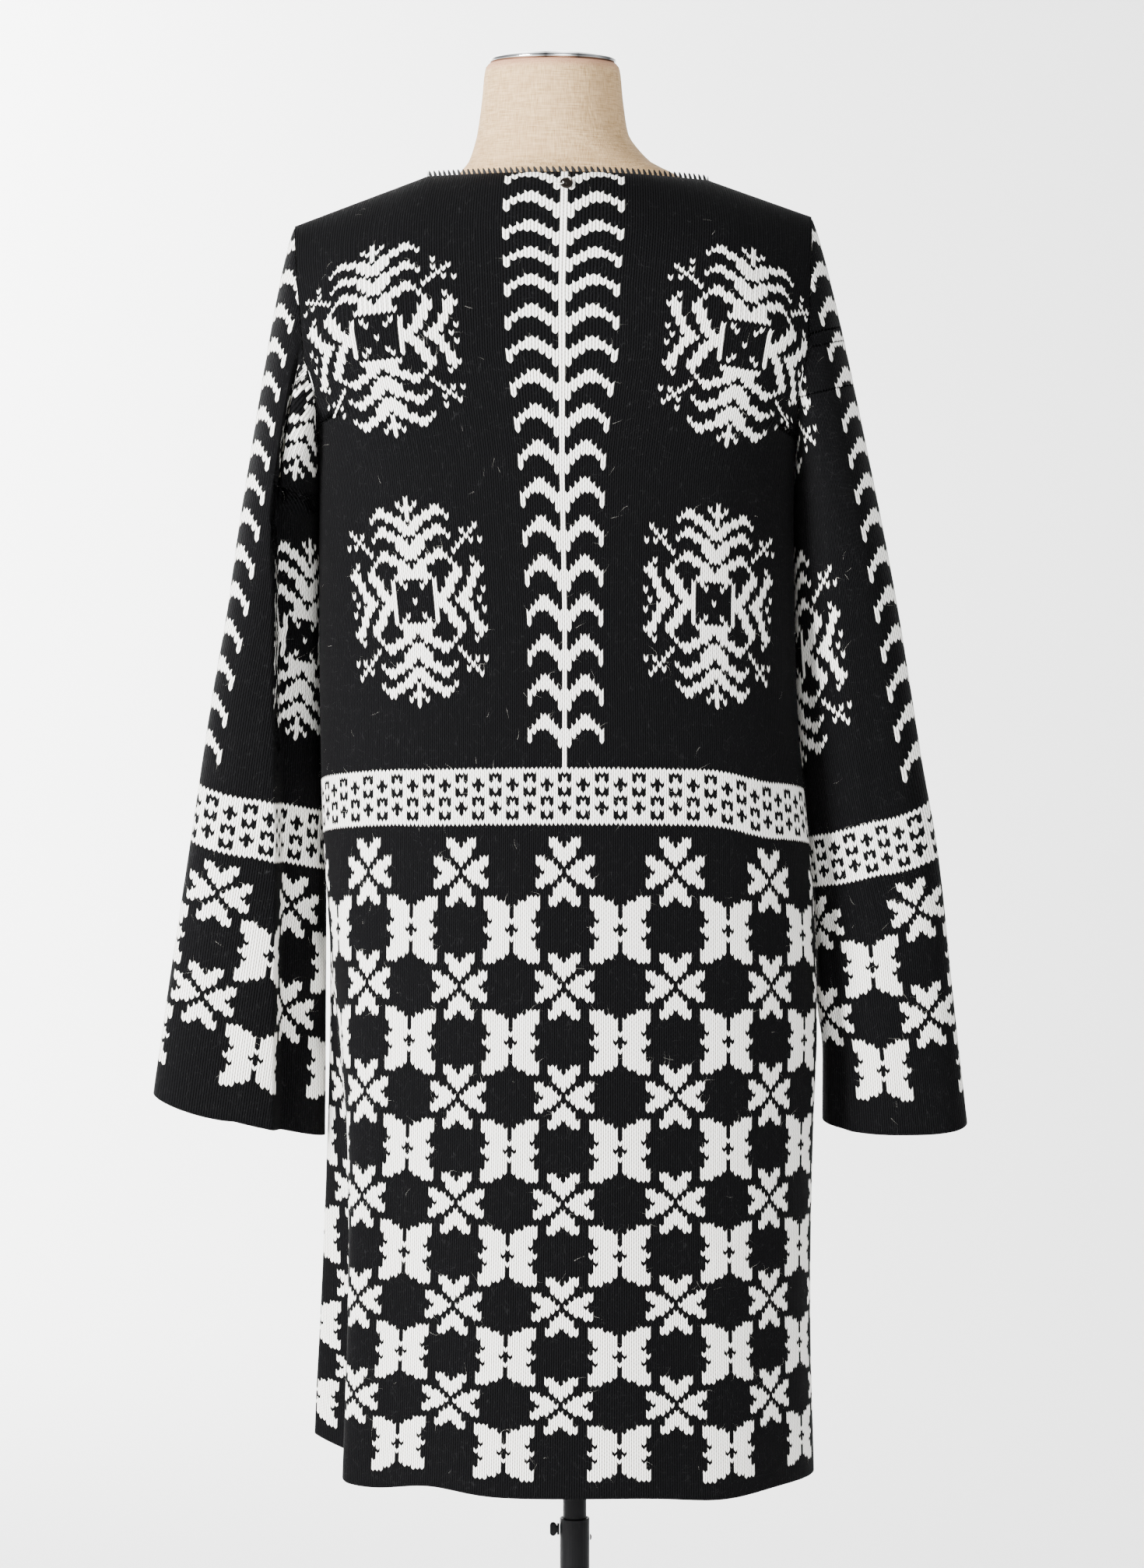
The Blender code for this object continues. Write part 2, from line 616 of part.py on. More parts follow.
def thumb_ring(z, span, half):
    """One outline of the flat thumb piece, turned a little about the screw's axis."""
    ring = []
    for k in range(BADGE_SIDES):
        angle = 2 * math.pi * k / BADGE_SIDES
        x = span * math.copysign(abs(math.cos(angle)) ** 0.7, math.cos(angle))
        y = half * math.copysign(abs(math.sin(angle)) ** 0.7, math.sin(angle))
        c, s = math.cos(THUMB_TURN), math.sin(THUMB_TURN)
        ring.append(np.array((x * c - y * s, x * s + y * c, z)))
    return ring


def make_badge(metal):
    """A thin disc that lies on the back panel, just below the neck."""
    turn = math.pi / 2 * BADGE_ARC / ROUND_ARC * 1.9
    centre = round_point("back", 0.0, turn)
    below = round_point("back", 0.0, turn + 0.01)
    down = (below - centre) / np.linalg.norm(below - centre)
    across = np.array((1.0, 0.0, 0.0))
    out = np.cross(down, across)
    out *= 1 if out[1] > 0 else -1
    edge = 0.0003
    rings = []
    for radius, height in (
        (BADGE_RADIUS - edge, 0.0),
        (BADGE_RADIUS, edge),
        (BADGE_RADIUS, BADGE_THICK - edge),
        (BADGE_RADIUS - edge, BADGE_THICK),
    ):
        ring = []
        for k in range(BADGE_SIDES):
            angle = 2 * math.pi * k / BADGE_SIDES
            lift = height + FIT_GAP + 0.0003
            ring.append(centre + out * lift + radius * (math.cos(angle) * across + math.sin(angle) * down))
        rings.append(ring)
    turned_body("badge", rings, metal)


def main():
    for obj in list(bpy.data.objects):
        bpy.data.objects.remove(obj)
    wool = new_material("mohair_knit", (0.03, 0.03, 0.033), 0.9)
    linen = new_material("linen", (0.58, 0.46, 0.32), 0.85)
    chrome = new_material("chrome", (0.8, 0.8, 0.82), 0.12, 1.0)
    black = new_material("black_paint", (0.012, 0.012, 0.013), 0.4)
    steel = new_material("dark_steel", (0.05, 0.05, 0.055), 0.35, 0.9)
    bronze = new_material("dark_bronze", (0.10, 0.08, 0.06), 0.4, 1.0)

    front_shares = [1e-6, *FRONT_NECK_SHARES, *SHARES]
    back_shares = [*BACK_NECK_SHARES, *SHARES]
    make_panel("back", "back", [*(-f for f in reversed(back_shares)), 0.0, *back_shares], wool)
    make_panel("front_left", "front", front_shares, wool)
    make_panel("front_right", "front", [-f for f in front_shares], wool)
    for side in ("left", "right"):
        make_sleeve(side, wool)
    make_form(linen, chrome)
    make_stand(black, steel)
    make_badge(bronze)


main()
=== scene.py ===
import math
import time

import bmesh
import bpy
import numpy as np
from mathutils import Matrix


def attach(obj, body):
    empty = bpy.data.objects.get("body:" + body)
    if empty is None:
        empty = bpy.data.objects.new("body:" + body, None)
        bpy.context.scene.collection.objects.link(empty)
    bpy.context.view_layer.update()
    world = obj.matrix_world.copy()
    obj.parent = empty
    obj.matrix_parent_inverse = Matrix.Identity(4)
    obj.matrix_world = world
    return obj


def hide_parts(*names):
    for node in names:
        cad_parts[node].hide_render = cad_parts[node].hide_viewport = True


# A long jacquard cardigan on a linen dress form, seen from behind. Metres, +Z up, the back faces +Y.
# Each stitch of the knit is a pair of faces that slant to a V, coloured by the charts below.

start = time.time()
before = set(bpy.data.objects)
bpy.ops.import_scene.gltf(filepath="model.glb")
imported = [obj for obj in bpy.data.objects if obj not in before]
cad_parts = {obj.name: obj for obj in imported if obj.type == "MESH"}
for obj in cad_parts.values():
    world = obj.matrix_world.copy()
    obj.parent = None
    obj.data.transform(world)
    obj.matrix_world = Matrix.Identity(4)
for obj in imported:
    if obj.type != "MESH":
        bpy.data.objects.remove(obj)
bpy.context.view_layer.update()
rng = np.random.default_rng(4)


def stage(text):
    print(f"{time.time() - start:6.1f} s  {text}", flush=True)


# Settings

# Places as (x, z), or (y, z) at the back of the neck; arcs run down the middle of the back.
# Stitches count from the spine; frondEdge and flank are where their width changes.
body = {
    "spine": 0.006,
    "neckBack": (0.066, 1.408),
    "neckFront": -0.030,
    "cornerY": 0.012,
    "neckShare": 0.30,
    "neckDrop": math.radians(72),
    "corner": {1: (0.108, 1.409), -1: (-0.098, 1.406)},
    "tip": {1: (0.207, 1.373), -1: (-0.175, 1.380)},
    "middleZ": 1.300,
    "roundArc": 0.1155,
    "underarmArc": 0.1755,
    "hemArc": 0.9655,
    "rows": 319,
    "bandRow": 141,
    "halfStitches": 145,
    "reach": {"back": 0.056, "front": 0.050},
    "seam": 0.00008,
    "wall": 0.0016,
    "frondEdge": 8.5,
    "flank": 36,
    "opening": {"neck": 0.003, "more": 0.008},
    "lattice": {"shift": 0, "last": 5},
}

# How far the middle of a leg stands off its row, how uneven that is, both in rows, and the shortest full leg
legs = {"zig": 0.38, "uneven": 0.05, "full": 0.002}

# Row height by row, scaled to the hem's arc, so it only places the pattern.
# Then stitch width in mm by row, of the spine and its fronds, and of the rest.
rowHeight = (
    (0, 2.75), (17, 2.75), (20, 2.35), (35, 2.35), (39, 2.8), (60, 3.05), (75, 3.35), (92, 3.5), (100, 3.56),
    (130, 3.56), (133, 3.1), (141, 3.1), (143, 3.36), (155, 3.3), (165, 3.2), (319, 2.55),
)
spineWidth = ((0, 5.33), (20, 5.25), (36, 4.95), (52, 4.8), (76, 3.75), (92, 3.45), (116, 3.14), (141, 3.1))
sideWidth = ((0, 4.2), (49, 3.66), (80, 3.36), (112, 3.2), (141, 3.2))
# Below the band: stitch width in mm on the left and right half of the back, out to the 36th stitch
lowWidth = ((150, 3.12, 3.38), (230, 3.24, 3.42), (319, 3.42, 3.6))
# How far the spine wanders to the left, in mm by row
spineDrift = ((0, 1.2), (36, 3.2), (80, 3.2), (110, 1.2), (150, 1.5), (230, 2.3), (319, 5.0))
# Rows that hang askew: side, first stitch and width of the ramp, middle row and width, rows down
skews = ((-1, 12, 25, 62, 34, 2.2), (-1, 30, 20, 150, 26, 2.4), (1, 30, 15, 215, 60, -1.0))
# How far the sides hang below the middle, in metres by arc
droops = ((0.1155, 0.028), (0.1755, 0.024), (0.4416, 0.015), (0.9675, 0.0))

# height, left, right, depth of back and front, fullness
sections = (
    (0.440, 0.194, 0.178, 0.108, 0.110, 0.00),
    (0.576, 0.189, 0.175, 0.107, 0.111, 0.00),
    (0.703, 0.187, 0.177, 0.106, 0.113, 0.00),
    (0.789, 0.187, 0.180, 0.104, 0.114, 0.01),
    (0.905, 0.187, 0.176, 0.102, 0.117, 0.02),
    (1.020, 0.189, 0.166, 0.101, 0.121, 0.05),
    (1.136, 0.190, 0.163, 0.103, 0.124, 0.10),
    (1.200, 0.190, 0.163, 0.102, 0.120, 0.15),
    (1.240, 0.192, 0.166, 0.101, 0.115, 0.18),
    (1.270, 0.201, 0.174, 0.101, 0.110, 0.21),
    (1.300, 0.2125, 0.183, 0.100, 0.104, 0.24),
)

# The soft fold at the left side: the heights where it starts and is full, and how far it stands out or in
fold = {"top": 0.98, "full": 0.50, "ridge": 0.004, "trough": 0.030, "lobe": 0.010}

# Soft creases: panel, place across, width, height off the cloth in mm, middle z, reach
creases = (
    ("back", -0.30, 0.09, -1.6, 0.60, 0.14),
    ("back", 0.20, 0.10, 1.4, 0.56, 0.14),
    ("back", 0.55, 0.10, -2.0, 1.12, 0.09),
    ("back", -0.52, 0.10, -2.0, 1.14, 0.08),
    ("front", 0.34, 0.11, -3.0, 0.66, 0.20),
    ("front", -0.40, 0.12, -3.0, 0.70, 0.22),
    ("front", 0.62, 0.10, 2.0, 0.80, 0.16),
    ("front", -0.66, 0.10, -2.0, 1.13, 0.10),
    ("front", 0.58, 0.10, -2.4, 1.11, 0.10),
)
# z, reach, place round the front of the sleeve, width, share of the depth taken
sleeveCreases = (
    (1.115, 0.016, 0.66, 0.07, 0.07),
    (1.060, 0.018, 0.72, 0.09, 0.10),
    (1.005, 0.015, 0.80, 0.08, 0.08),
    (0.930, 0.020, 0.69, 0.09, 0.06),
)

# Lifts of the hem: panel, place across, lift, width
hemLifts = (
    ("back", -0.42, -0.005, 0.16),
    ("back", 0.36, 0.006, 0.12),
    ("back", 0.72, 0.004, 0.16),
    ("front", 0.80, 0.015, 0.30),
    ("front", 0.15, 0.006, 0.30),
    ("front", -0.30, 0.006, 0.30),
)

# table: height, outer edge, inner edge, middle and half of the depth, tilt of the rows
# foldAt: height, angle
# fold: width in degrees, share of the depth taken, height of its top, length of its fade
# inward: how far the inner edge moves in, and above what height; bandZ: the band's top and bottom
sleeves = {
    "left": {
        "side": 1,
        "table": (
            (0.700, 0.3190, 0.1905, -0.026, 0.042, 0.017),
            (0.784, 0.3070, 0.1900, -0.028, 0.046, 0.015),
            (0.900, 0.2895, 0.1898, -0.030, 0.054, 0.012),
            (1.017, 0.2715, 0.1915, -0.030, 0.061, 0.010),
            (1.075, 0.2605, 0.1920, -0.024, 0.063, 0.010),
            (1.150, 0.2490, 0.1922, -0.012, 0.063, 0.008),
            (1.250, 0.2310, 0.1924, -0.002, 0.060, 0.004),
        ),
        "foldAt": (
            (0.70, 116), (0.784, 113), (0.90, 109), (0.986, 103), (1.047, 97), (1.135, 87), (1.19, 75),
        ),
        "fold": (6.0, 0.42, 1.25, 0.15),
        "inward": (0.0035, 0.30),
        # height, stitches at the outer edge, before the fold and after it
        "columns": (
            (0.7145, 5.0, 29.0, 36.5), (0.876, 4.5, 23.6, 34.5), (0.986, 3.9, 19.3, 31.0),
            (1.047, 3.5, 16.1, 28.5), (1.135, 2.8, 11.5, 26.0), (1.19, 2.5, 8.8, 24.5),
        ),
        # height, width in which the fern's fronds show
        "fronds": ((0.876, 0.0138), (0.95, 0.0155), (1.047, 0.0166), (1.135, 0.0200), (1.19, 0.0205)),
        "bandZ": (0.948, 0.9055),
        "cuffZ": 0.7115,
        "sag": 0.002,
    },
    "right": {
        "side": -1,
        "table": (
            (0.700, -0.2955, -0.1850, -0.018, 0.046, 0.000),
            (0.784, -0.2855, -0.1850, -0.020, 0.048, 0.003),
            (0.900, -0.2720, -0.1800, -0.026, 0.054, 0.013),
            (0.957, -0.2615, -0.1745, -0.028, 0.058, 0.015),
            (1.017, -0.2520, -0.1690, -0.028, 0.061, 0.014),
            (1.075, -0.2425, -0.1670, -0.024, 0.063, 0.012),
            (1.150, -0.2280, -0.1660, -0.012, 0.063, 0.008),
            (1.250, -0.2065, -0.1670, -0.002, 0.060, 0.004),
        ),
        "foldAt": ((0.70, 128), (1.19, 128)),
        "fold": (14.0, 0.25, 1.14, 0.10),
        "inward": (0.0035, 0.76),
        "columns": (
            (0.7145, 5.5, 31.5, 34.5), (0.876, 5.5, 30.0, 33.0),
            (1.04, 3.2, 25.0, 28.5), (1.15, 2.5, 23.0, 25.0),
        ),
        "fronds": ((0.876, 0.010), (0.93, 0.017), (1.047, 0.020), (1.15, 0.020)),
        "bandZ": (0.932, 0.893),
        "cuffZ": 0.7080,
        "sag": 0.007,
    },
}
sleeve = {
    "lattice": {"shift": 12, "last": 1},
    "stitches": 96,
    "rows": 205,
    "capRow": 69,
    "capZ": 1.150,
    "bandRow": 127,
    "seam": 0.0006,
    "around": 240,
}
# Stray hairs: ranges in metres, and the share of ivory hairs on black
fibres = {"long": (0.003, 0.009), "high": (0.0005, 0.0020), "wide": (0.00002, 0.00003), "stray": 0.015}

# height, centre, half width, depth of back and front, roundness
form = (
    (0.796, 0.006, 0.146, 0.082, 0.084, 2.2),
    (0.800, 0.006, 0.153, 0.089, 0.091, 2.2),
    (0.812, 0.006, 0.157, 0.093, 0.095, 2.2),
    (0.855, 0.006, 0.158, 0.095, 0.098, 2.2),
    (0.910, 0.006, 0.152, 0.093, 0.096, 2.2),
    (0.980, 0.007, 0.133, 0.080, 0.088, 2.1),
    (1.040, 0.009, 0.119, 0.072, 0.087, 2.1),
    (1.100, 0.011, 0.133, 0.083, 0.103, 2.1),
    (1.150, 0.012, 0.145, 0.090, 0.115, 2.1),
    (1.200, 0.012, 0.150, 0.094, 0.111, 2.1),
    (1.250, 0.012, 0.155, 0.093, 0.098, 2.1),
    (1.300, 0.011, 0.164, 0.085, 0.083, 2.1),
    (1.340, 0.009, 0.170, 0.070, 0.062, 2.1),
    (1.362, 0.008, 0.171, 0.057, 0.047, 2.0),
    (1.376, 0.0070, 0.1680, 0.050, 0.040, 2.0),
    (1.385, 0.0075, 0.1570, 0.046, 0.035, 2.0),
    (1.394, 0.0090, 0.1302, 0.044, 0.031, 2.0),
    (1.402, 0.0075, 0.0980, 0.045, 0.034, 2.0),
    (1.409, 0.005, 0.084, 0.050, 0.046, 2.0),
    (1.420, 0.011, 0.068, 0.054, 0.053, 2.0),
    (1.438, 0.016, 0.057, 0.053, 0.053, 2.0),
    (1.465, 0.0165, 0.0525, 0.051, 0.051, 2.0),
    (1.486, 0.0165, 0.0505, 0.0495, 0.0495, 2.0),
    (1.4915, 0.0165, 0.0490, 0.0480, 0.0480, 2.0),
    (1.4935, 0.0165, 0.0465, 0.0455, 0.0455, 2.0),
)

# Charts. A motif's last row is its middle one, and the rest mirrors.

flower = (
    "...XX...XX...",
    "...XXX.XXX...",
    "....XXXXX....",
    "....XXXXX....",
    "XX...XXX...XX",
    "XXXX..X..XXXX",
    ".XXXX...XXXX.",
    "..XXXX.XXXX..",
)
butterfly = (
    "XXX.......XXX",
    "XXXXX...XXXXX",
    "XXXXXX.XXXXXX",
    ".XXXXX.XXXXX.",
    ".XXXXX.XXXXX.",
    "..XXXXXXXXX..",
    ".XXXXX.XXXXX.",
    "XXXXX...XXXXX",
)
openBlock = ("XXX", "X.X", "...", "X.X", "XXX")
plusBlock = ("...", ".X.", "XXX", ".X.", "...")

# One layer of a rosette's fronds from its crown down, from x = 0,
# and its leaves from the middle row out, from x = 6
frond = (
    "......XX..",
    "....XXXXX.",
    "..XXXX...X",
    ".XXX......",
    "XXXX......",
    "XXX.......",
    "XX........",
)
leaf = (
    "XX..XXX..X..",
    "XXX..XXX....",
    ".XXX..XX..X.",
    "..XX...XX...",
    "..XXX..XX...",
    "...XX...XX..",
    "...XXX..XX..",
    "....XX..XXX.",
    "....X....X..",
    "...X....X...",
)


def inMotif(motif, x, y):
    row = 7 - abs(y)
    return 0 <= row and abs(x) <= 6 and motif[row][x + 6] == "X"


# One pair of fronds; y counts rows down from their crown.
def inFern(x, y):
    x = abs(x)
    if not 1 <= x <= 8:
        return False
    first = (3, 2, 1, 0, 0, 1, 2, 3)[x - 1]
    return first <= y < first + (4, 3, 3, 3, 3, 2, 2, 3)[x - 1]


# A quarter of a rosette: fronds above, leaves beside, a framed square in the middle, a sprig between.
def inRosette(x, y):
    x, y = abs(x), abs(y)
    if x <= 5 and y <= 6:
        return (y == 6 and x <= 4) or (x == 5 and y <= 4) or (x, y) in ((0, 0), (2, 3), (3, 4))
    if x < 10 and any(0 <= crown - y < 7 and frond[crown - y][x] == "X" for crown in (21, 16, 11)):
        return True
    if x >= 6 and y < 10 and leaf[y][min(x - 6, 11)] == "X":
        return True
    if 10 <= x <= 15 and y == x + 1 or (x == 0 and 19 <= y <= 23):
        return True
    return (x, y) in ((12, 15), (14, 13), (12, 17), (16, 13), (1, 21), (2, 22))


# Whether a stitch is ivory. x counts from the fern's spine, r counts down from the top of the band.
def isIvory(x, r, spineEnd, lattice):
    if 0 <= r < 12:
        place = (x + 1) % 4
        if r in (0, 11) or place == 3:
            return True
        block = plusBlock if ((x + 1) // 4 + (r > 5)) % 2 else openBlock
        return block[(r - 1) % 5][place] != "X"
    if r < 0:
        if x == 0:
            return r < spineEnd
        if abs(x) <= 8:
            return r >= -140 and inFern(x, (r + 12) % 8) and r < -4
        # The lower rosettes are a few rows shorter.
        places = [(abs(x) - 34, round((r - c) * tall)) for c, tall in ((-36, 1.1), (-94, 1.0))]
        return any(abs(a) <= 17 and abs(b) <= 23 and inRosette(a, b) for a, b in places)
    x, last = x + lattice["shift"], lattice["last"]
    row, down = divmod(r - 15, 26)
    if 0 <= row <= last and inMotif(flower, (x + 12) % 24 - 12, down - 7):
        return True
    row, down = divmod(r - 28, 26)
    return 0 <= row <= last and inMotif(butterfly, x % 24 - 12, down - 7)


# Shapes. Tables of points are arrays of rows by places across by three.

# Reads a column between the rows of a table, with an even slope through each row.
def read(table, column, at):
    place = np.array([row[0] for row in table])
    value = np.array([row[column] for row in table])
    step = np.diff(value) / np.diff(place)
    slope = np.concatenate([step[:1], (step[:-1] + step[1:]) / 2, step[-1:]])
    at = np.clip(at, place[0], place[-1])
    low = np.clip(np.searchsorted(place, at) - 1, 0, len(place) - 2)
    width = place[low + 1] - place[low]
    t = (at - place[low]) / width
    first = (1 + 2 * t) * (1 - t) ** 2 * value[low] + t * (1 - t) ** 2 * width * slope[low]
    return first + t * t * (3 - 2 * t) * value[low + 1] + t * t * (t - 1) * width * slope[low + 1]


def readLinear(table, column, at):
    return np.interp(at, [row[0] for row in table], [row[column] for row in table])


# Lengths along one axis of a table of points, from 0 at its start
def runLengths(points, axis):
    steps = np.linalg.norm(np.diff(points, axis=axis), axis=-1)
    return np.concatenate([np.zeros_like(np.take(steps, [0], axis)), np.cumsum(steps, axis)], axis)


def ramp(t):
    t = np.clip(t, 0, 1)
    return t * t * (3 - 2 * t)


def bump(t):
    return np.exp(-t * t)


rowArc = np.concatenate([[0], np.cumsum(readLinear(rowHeight, 1, np.arange(body["rows"]) + 0.5))])
rowArc *= body["hemArc"] / rowArc[-1]
roundArc, underarmArc, hemArc = body["roundArc"], body["underarmArc"], body["hemArc"]


# Points below the shoulder's round: f from -1 at the right side to 1 at the left, arc down the middle.
def lowerPoints(panel, f, arc):
    f, arc = np.broadcast_arrays(np.asarray(f, float), np.asarray(arc, float))
    across, left = abs(f), f >= 0
    z = body["middleZ"] - (arc - roundArc)
    half = np.where(left, read(sections, 1, z) - body["spine"], read(sections, 2, z) + body["spine"])
    depth = read(sections, 3 if panel == "back" else 4, z)
    full = read(sections, 5, z)
    # The armhole's edge, as an angle round the section
    t = np.clip((arc - roundArc) / (underarmArc - roundArc), 0, 1)
    edge = body["reach"][panel] * np.sqrt(1 - t * t)
    low, high = np.zeros_like(f), np.full_like(f, math.pi / 2)
    for _ in range(24):
        turn = (low + high) / 2
        inside = depth * np.cos(turn) * (1 + full * np.sin(turn) ** 2) > edge
        low, high = np.where(inside, turn, low), np.where(inside, high, turn)
    beyond = math.pi / 4 + (across - 0.5) * 2 * (high - math.pi / 4)
    turn = np.where(across > 0.5, beyond, across * math.pi / 2)
    x = np.where(left, 1, -1) * half * np.sin(turn) * (1 + full * np.cos(turn) ** 2) + body["spine"]
    y = depth * np.cos(turn) * (1 + full * np.sin(turn) ** 2) + body["seam"]
    strength = ramp((fold["top"] - z) / (fold["top"] - fold["full"]))
    strength = np.where((f > 0) & (z < fold["top"]), strength, 0)
    if panel == "back":
        moved = fold["ridge"] * bump((f - 0.62) / 0.15) - fold["trough"] * ramp((f - 0.60) / 0.34)
        x = x + strength * moved
        y = y + strength * (0.006 * bump((f - 0.66) / 0.14) - 0.004 * ramp((f - 0.8) / 0.2))
    else:
        lobe = fold["lobe"] * bump((f - 0.80) / 0.13) * (1 - ramp((f - 0.92) / 0.08))
        x = x + strength * (lobe - fold["trough"] * ramp((f - 0.80) / 0.20))
        y = -y - strength * 0.004 * ramp((f - 0.8) / 0.2)
    for name, at, width, height, middle, reach in creases:
        if name == panel:
            y = y + np.sign(y) * height / 1000 * bump((f - at) / width) * bump((z - middle) / reach)
    lift = 0.010 * ramp((f - 0.6) / 0.4)
    for name, at, height, width in hemLifts:
        if name == panel:
            lift = lift + height * bump((f - at) / width) * (1 - ramp((across - 0.8) / 0.2))
    lift = lift * ramp(1 - (hemArc - arc) / 0.14)
    droop = read(droops, 1, arc)
    return np.stack([x, y, z - droop * across**2 + lift], -1)


# The neck edge and the shoulder seam. A front's neck edge is where it would be before it is cut.
def topPoints(panel, f):
    f = np.asarray(f, float)
    across, left = abs(f), f >= 0
    corner = [np.where(left, body["corner"][1][k], body["corner"][-1][k]) for k in (0, 1)]
    tip = [np.where(left, body["tip"][1][k], body["tip"][-1][k]) for k in (0, 1)]
    t = (across - body["neckShare"]) / (1 - body["neckShare"])
    n = np.clip(across / body["neckShare"], 0, 1)
    onSeam = across > body["neckShare"]
    middle = body["neckBack"][0] if panel == "back" else body["neckFront"]
    neckX = body["spine"] + (corner[0] - body["spine"]) * n
    neckZ = body["neckBack"][1] + (corner[1] - body["neckBack"][1]) * n * n
    x = np.where(onSeam, corner[0] + (tip[0] - corner[0]) * t, neckX)
    z = np.where(onSeam, corner[1] + (tip[1] - corner[1]) * t, neckZ)
    neckY = body["cornerY"] + (middle - body["cornerY"]) * np.cos(n * math.pi / 2)
    y = np.where(onSeam, body["cornerY"] * (1 - t), neckY)
    return np.stack([x, y + (body["seam"] if panel == "back" else -body["seam"]), z], -1)


def roundPoints(panel, f, turn):
    top, low = topPoints(panel, f), lowerPoints(panel, f, roundArc)
    share = np.stack([1 - np.cos(turn), np.sin(turn), 1 - np.cos(turn)], -1)
    return top + (low - top) * share


# Points at each row and each place across, plus the row at which each place meets the front neck's cut.
def panelTable(panel, places):
    turns = np.linspace(0, math.pi / 2, 60)
    fine = roundPoints(panel, places[None, :], turns[:, None])
    length = runLengths(fine, 0)
    every = range(len(places))
    onRound = rowArc[rowArc < roundArc] / roundArc
    turnAt = np.stack([np.interp(onRound * length[-1, k], length[:, k], turns) for k in every], 1)
    upper = roundPoints(panel, np.broadcast_to(places, turnAt.shape), turnAt)
    lower = lowerPoints(panel, places[None, :], rowArc[rowArc >= roundArc, None])
    table = np.concatenate([upper, lower])
    n = abs(places) / body["neckShare"]
    cut = body["neckDrop"] * np.sqrt(np.clip(1 - n * n, 0, 1))
    cutRow = np.array([np.interp(cut[k], turnAt[:, k], np.arange(len(onRound))) for k in every])
    if panel == "front":
        gap = body["opening"]["neck"] + body["opening"]["more"] * ramp((1.35 - table[..., 2]) / 0.9)
        table[..., 0] += np.sign(places)[None, :] * gap * (1 - ramp(abs(places) / 0.5))[None, :]
    return table, cutRow


def tableNormals(table, outward):
    across = np.gradient(table, axis=1)
    down = np.gradient(table, axis=0)
    normal = np.cross(across, down)
    normal /= np.maximum(np.linalg.norm(normal, axis=2, keepdims=True), 1e-12)
    flip = np.sign((normal * outward).sum(2, keepdims=True))
    return normal * np.where(flip == 0, 1, flip)


# Reads a table of points between its rows and places, both given as real numbers.
def sample(table, row, place):
    row = np.clip(row, 0, table.shape[0] - 1.000001)
    place = np.clip(place, 0, table.shape[1] - 1.000001)
    i, j = row.astype(int), place.astype(int)
    a, b = (row - i)[..., None], (place - j)[..., None]
    top = table[i, j] * (1 - b) + table[i, j + 1] * b
    return top * (1 - a) + (table[i + 1, j] * (1 - b) + table[i + 1, j + 1] * b) * a


# Meshes

def newMesh(name, points, faces, materials, body="dressed_form", slot=None, smooth=True):
    data = bpy.data.meshes.new(name)
    data.from_pydata([tuple(p) for p in points], [], faces)
    for material in materials:
        data.materials.append(material)
    if smooth:
        data.shade_smooth()
    obj = bpy.data.objects.new(name, data)
    bpy.context.scene.collection.objects.link(obj)
    if body:
        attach(obj, body)
    return obj


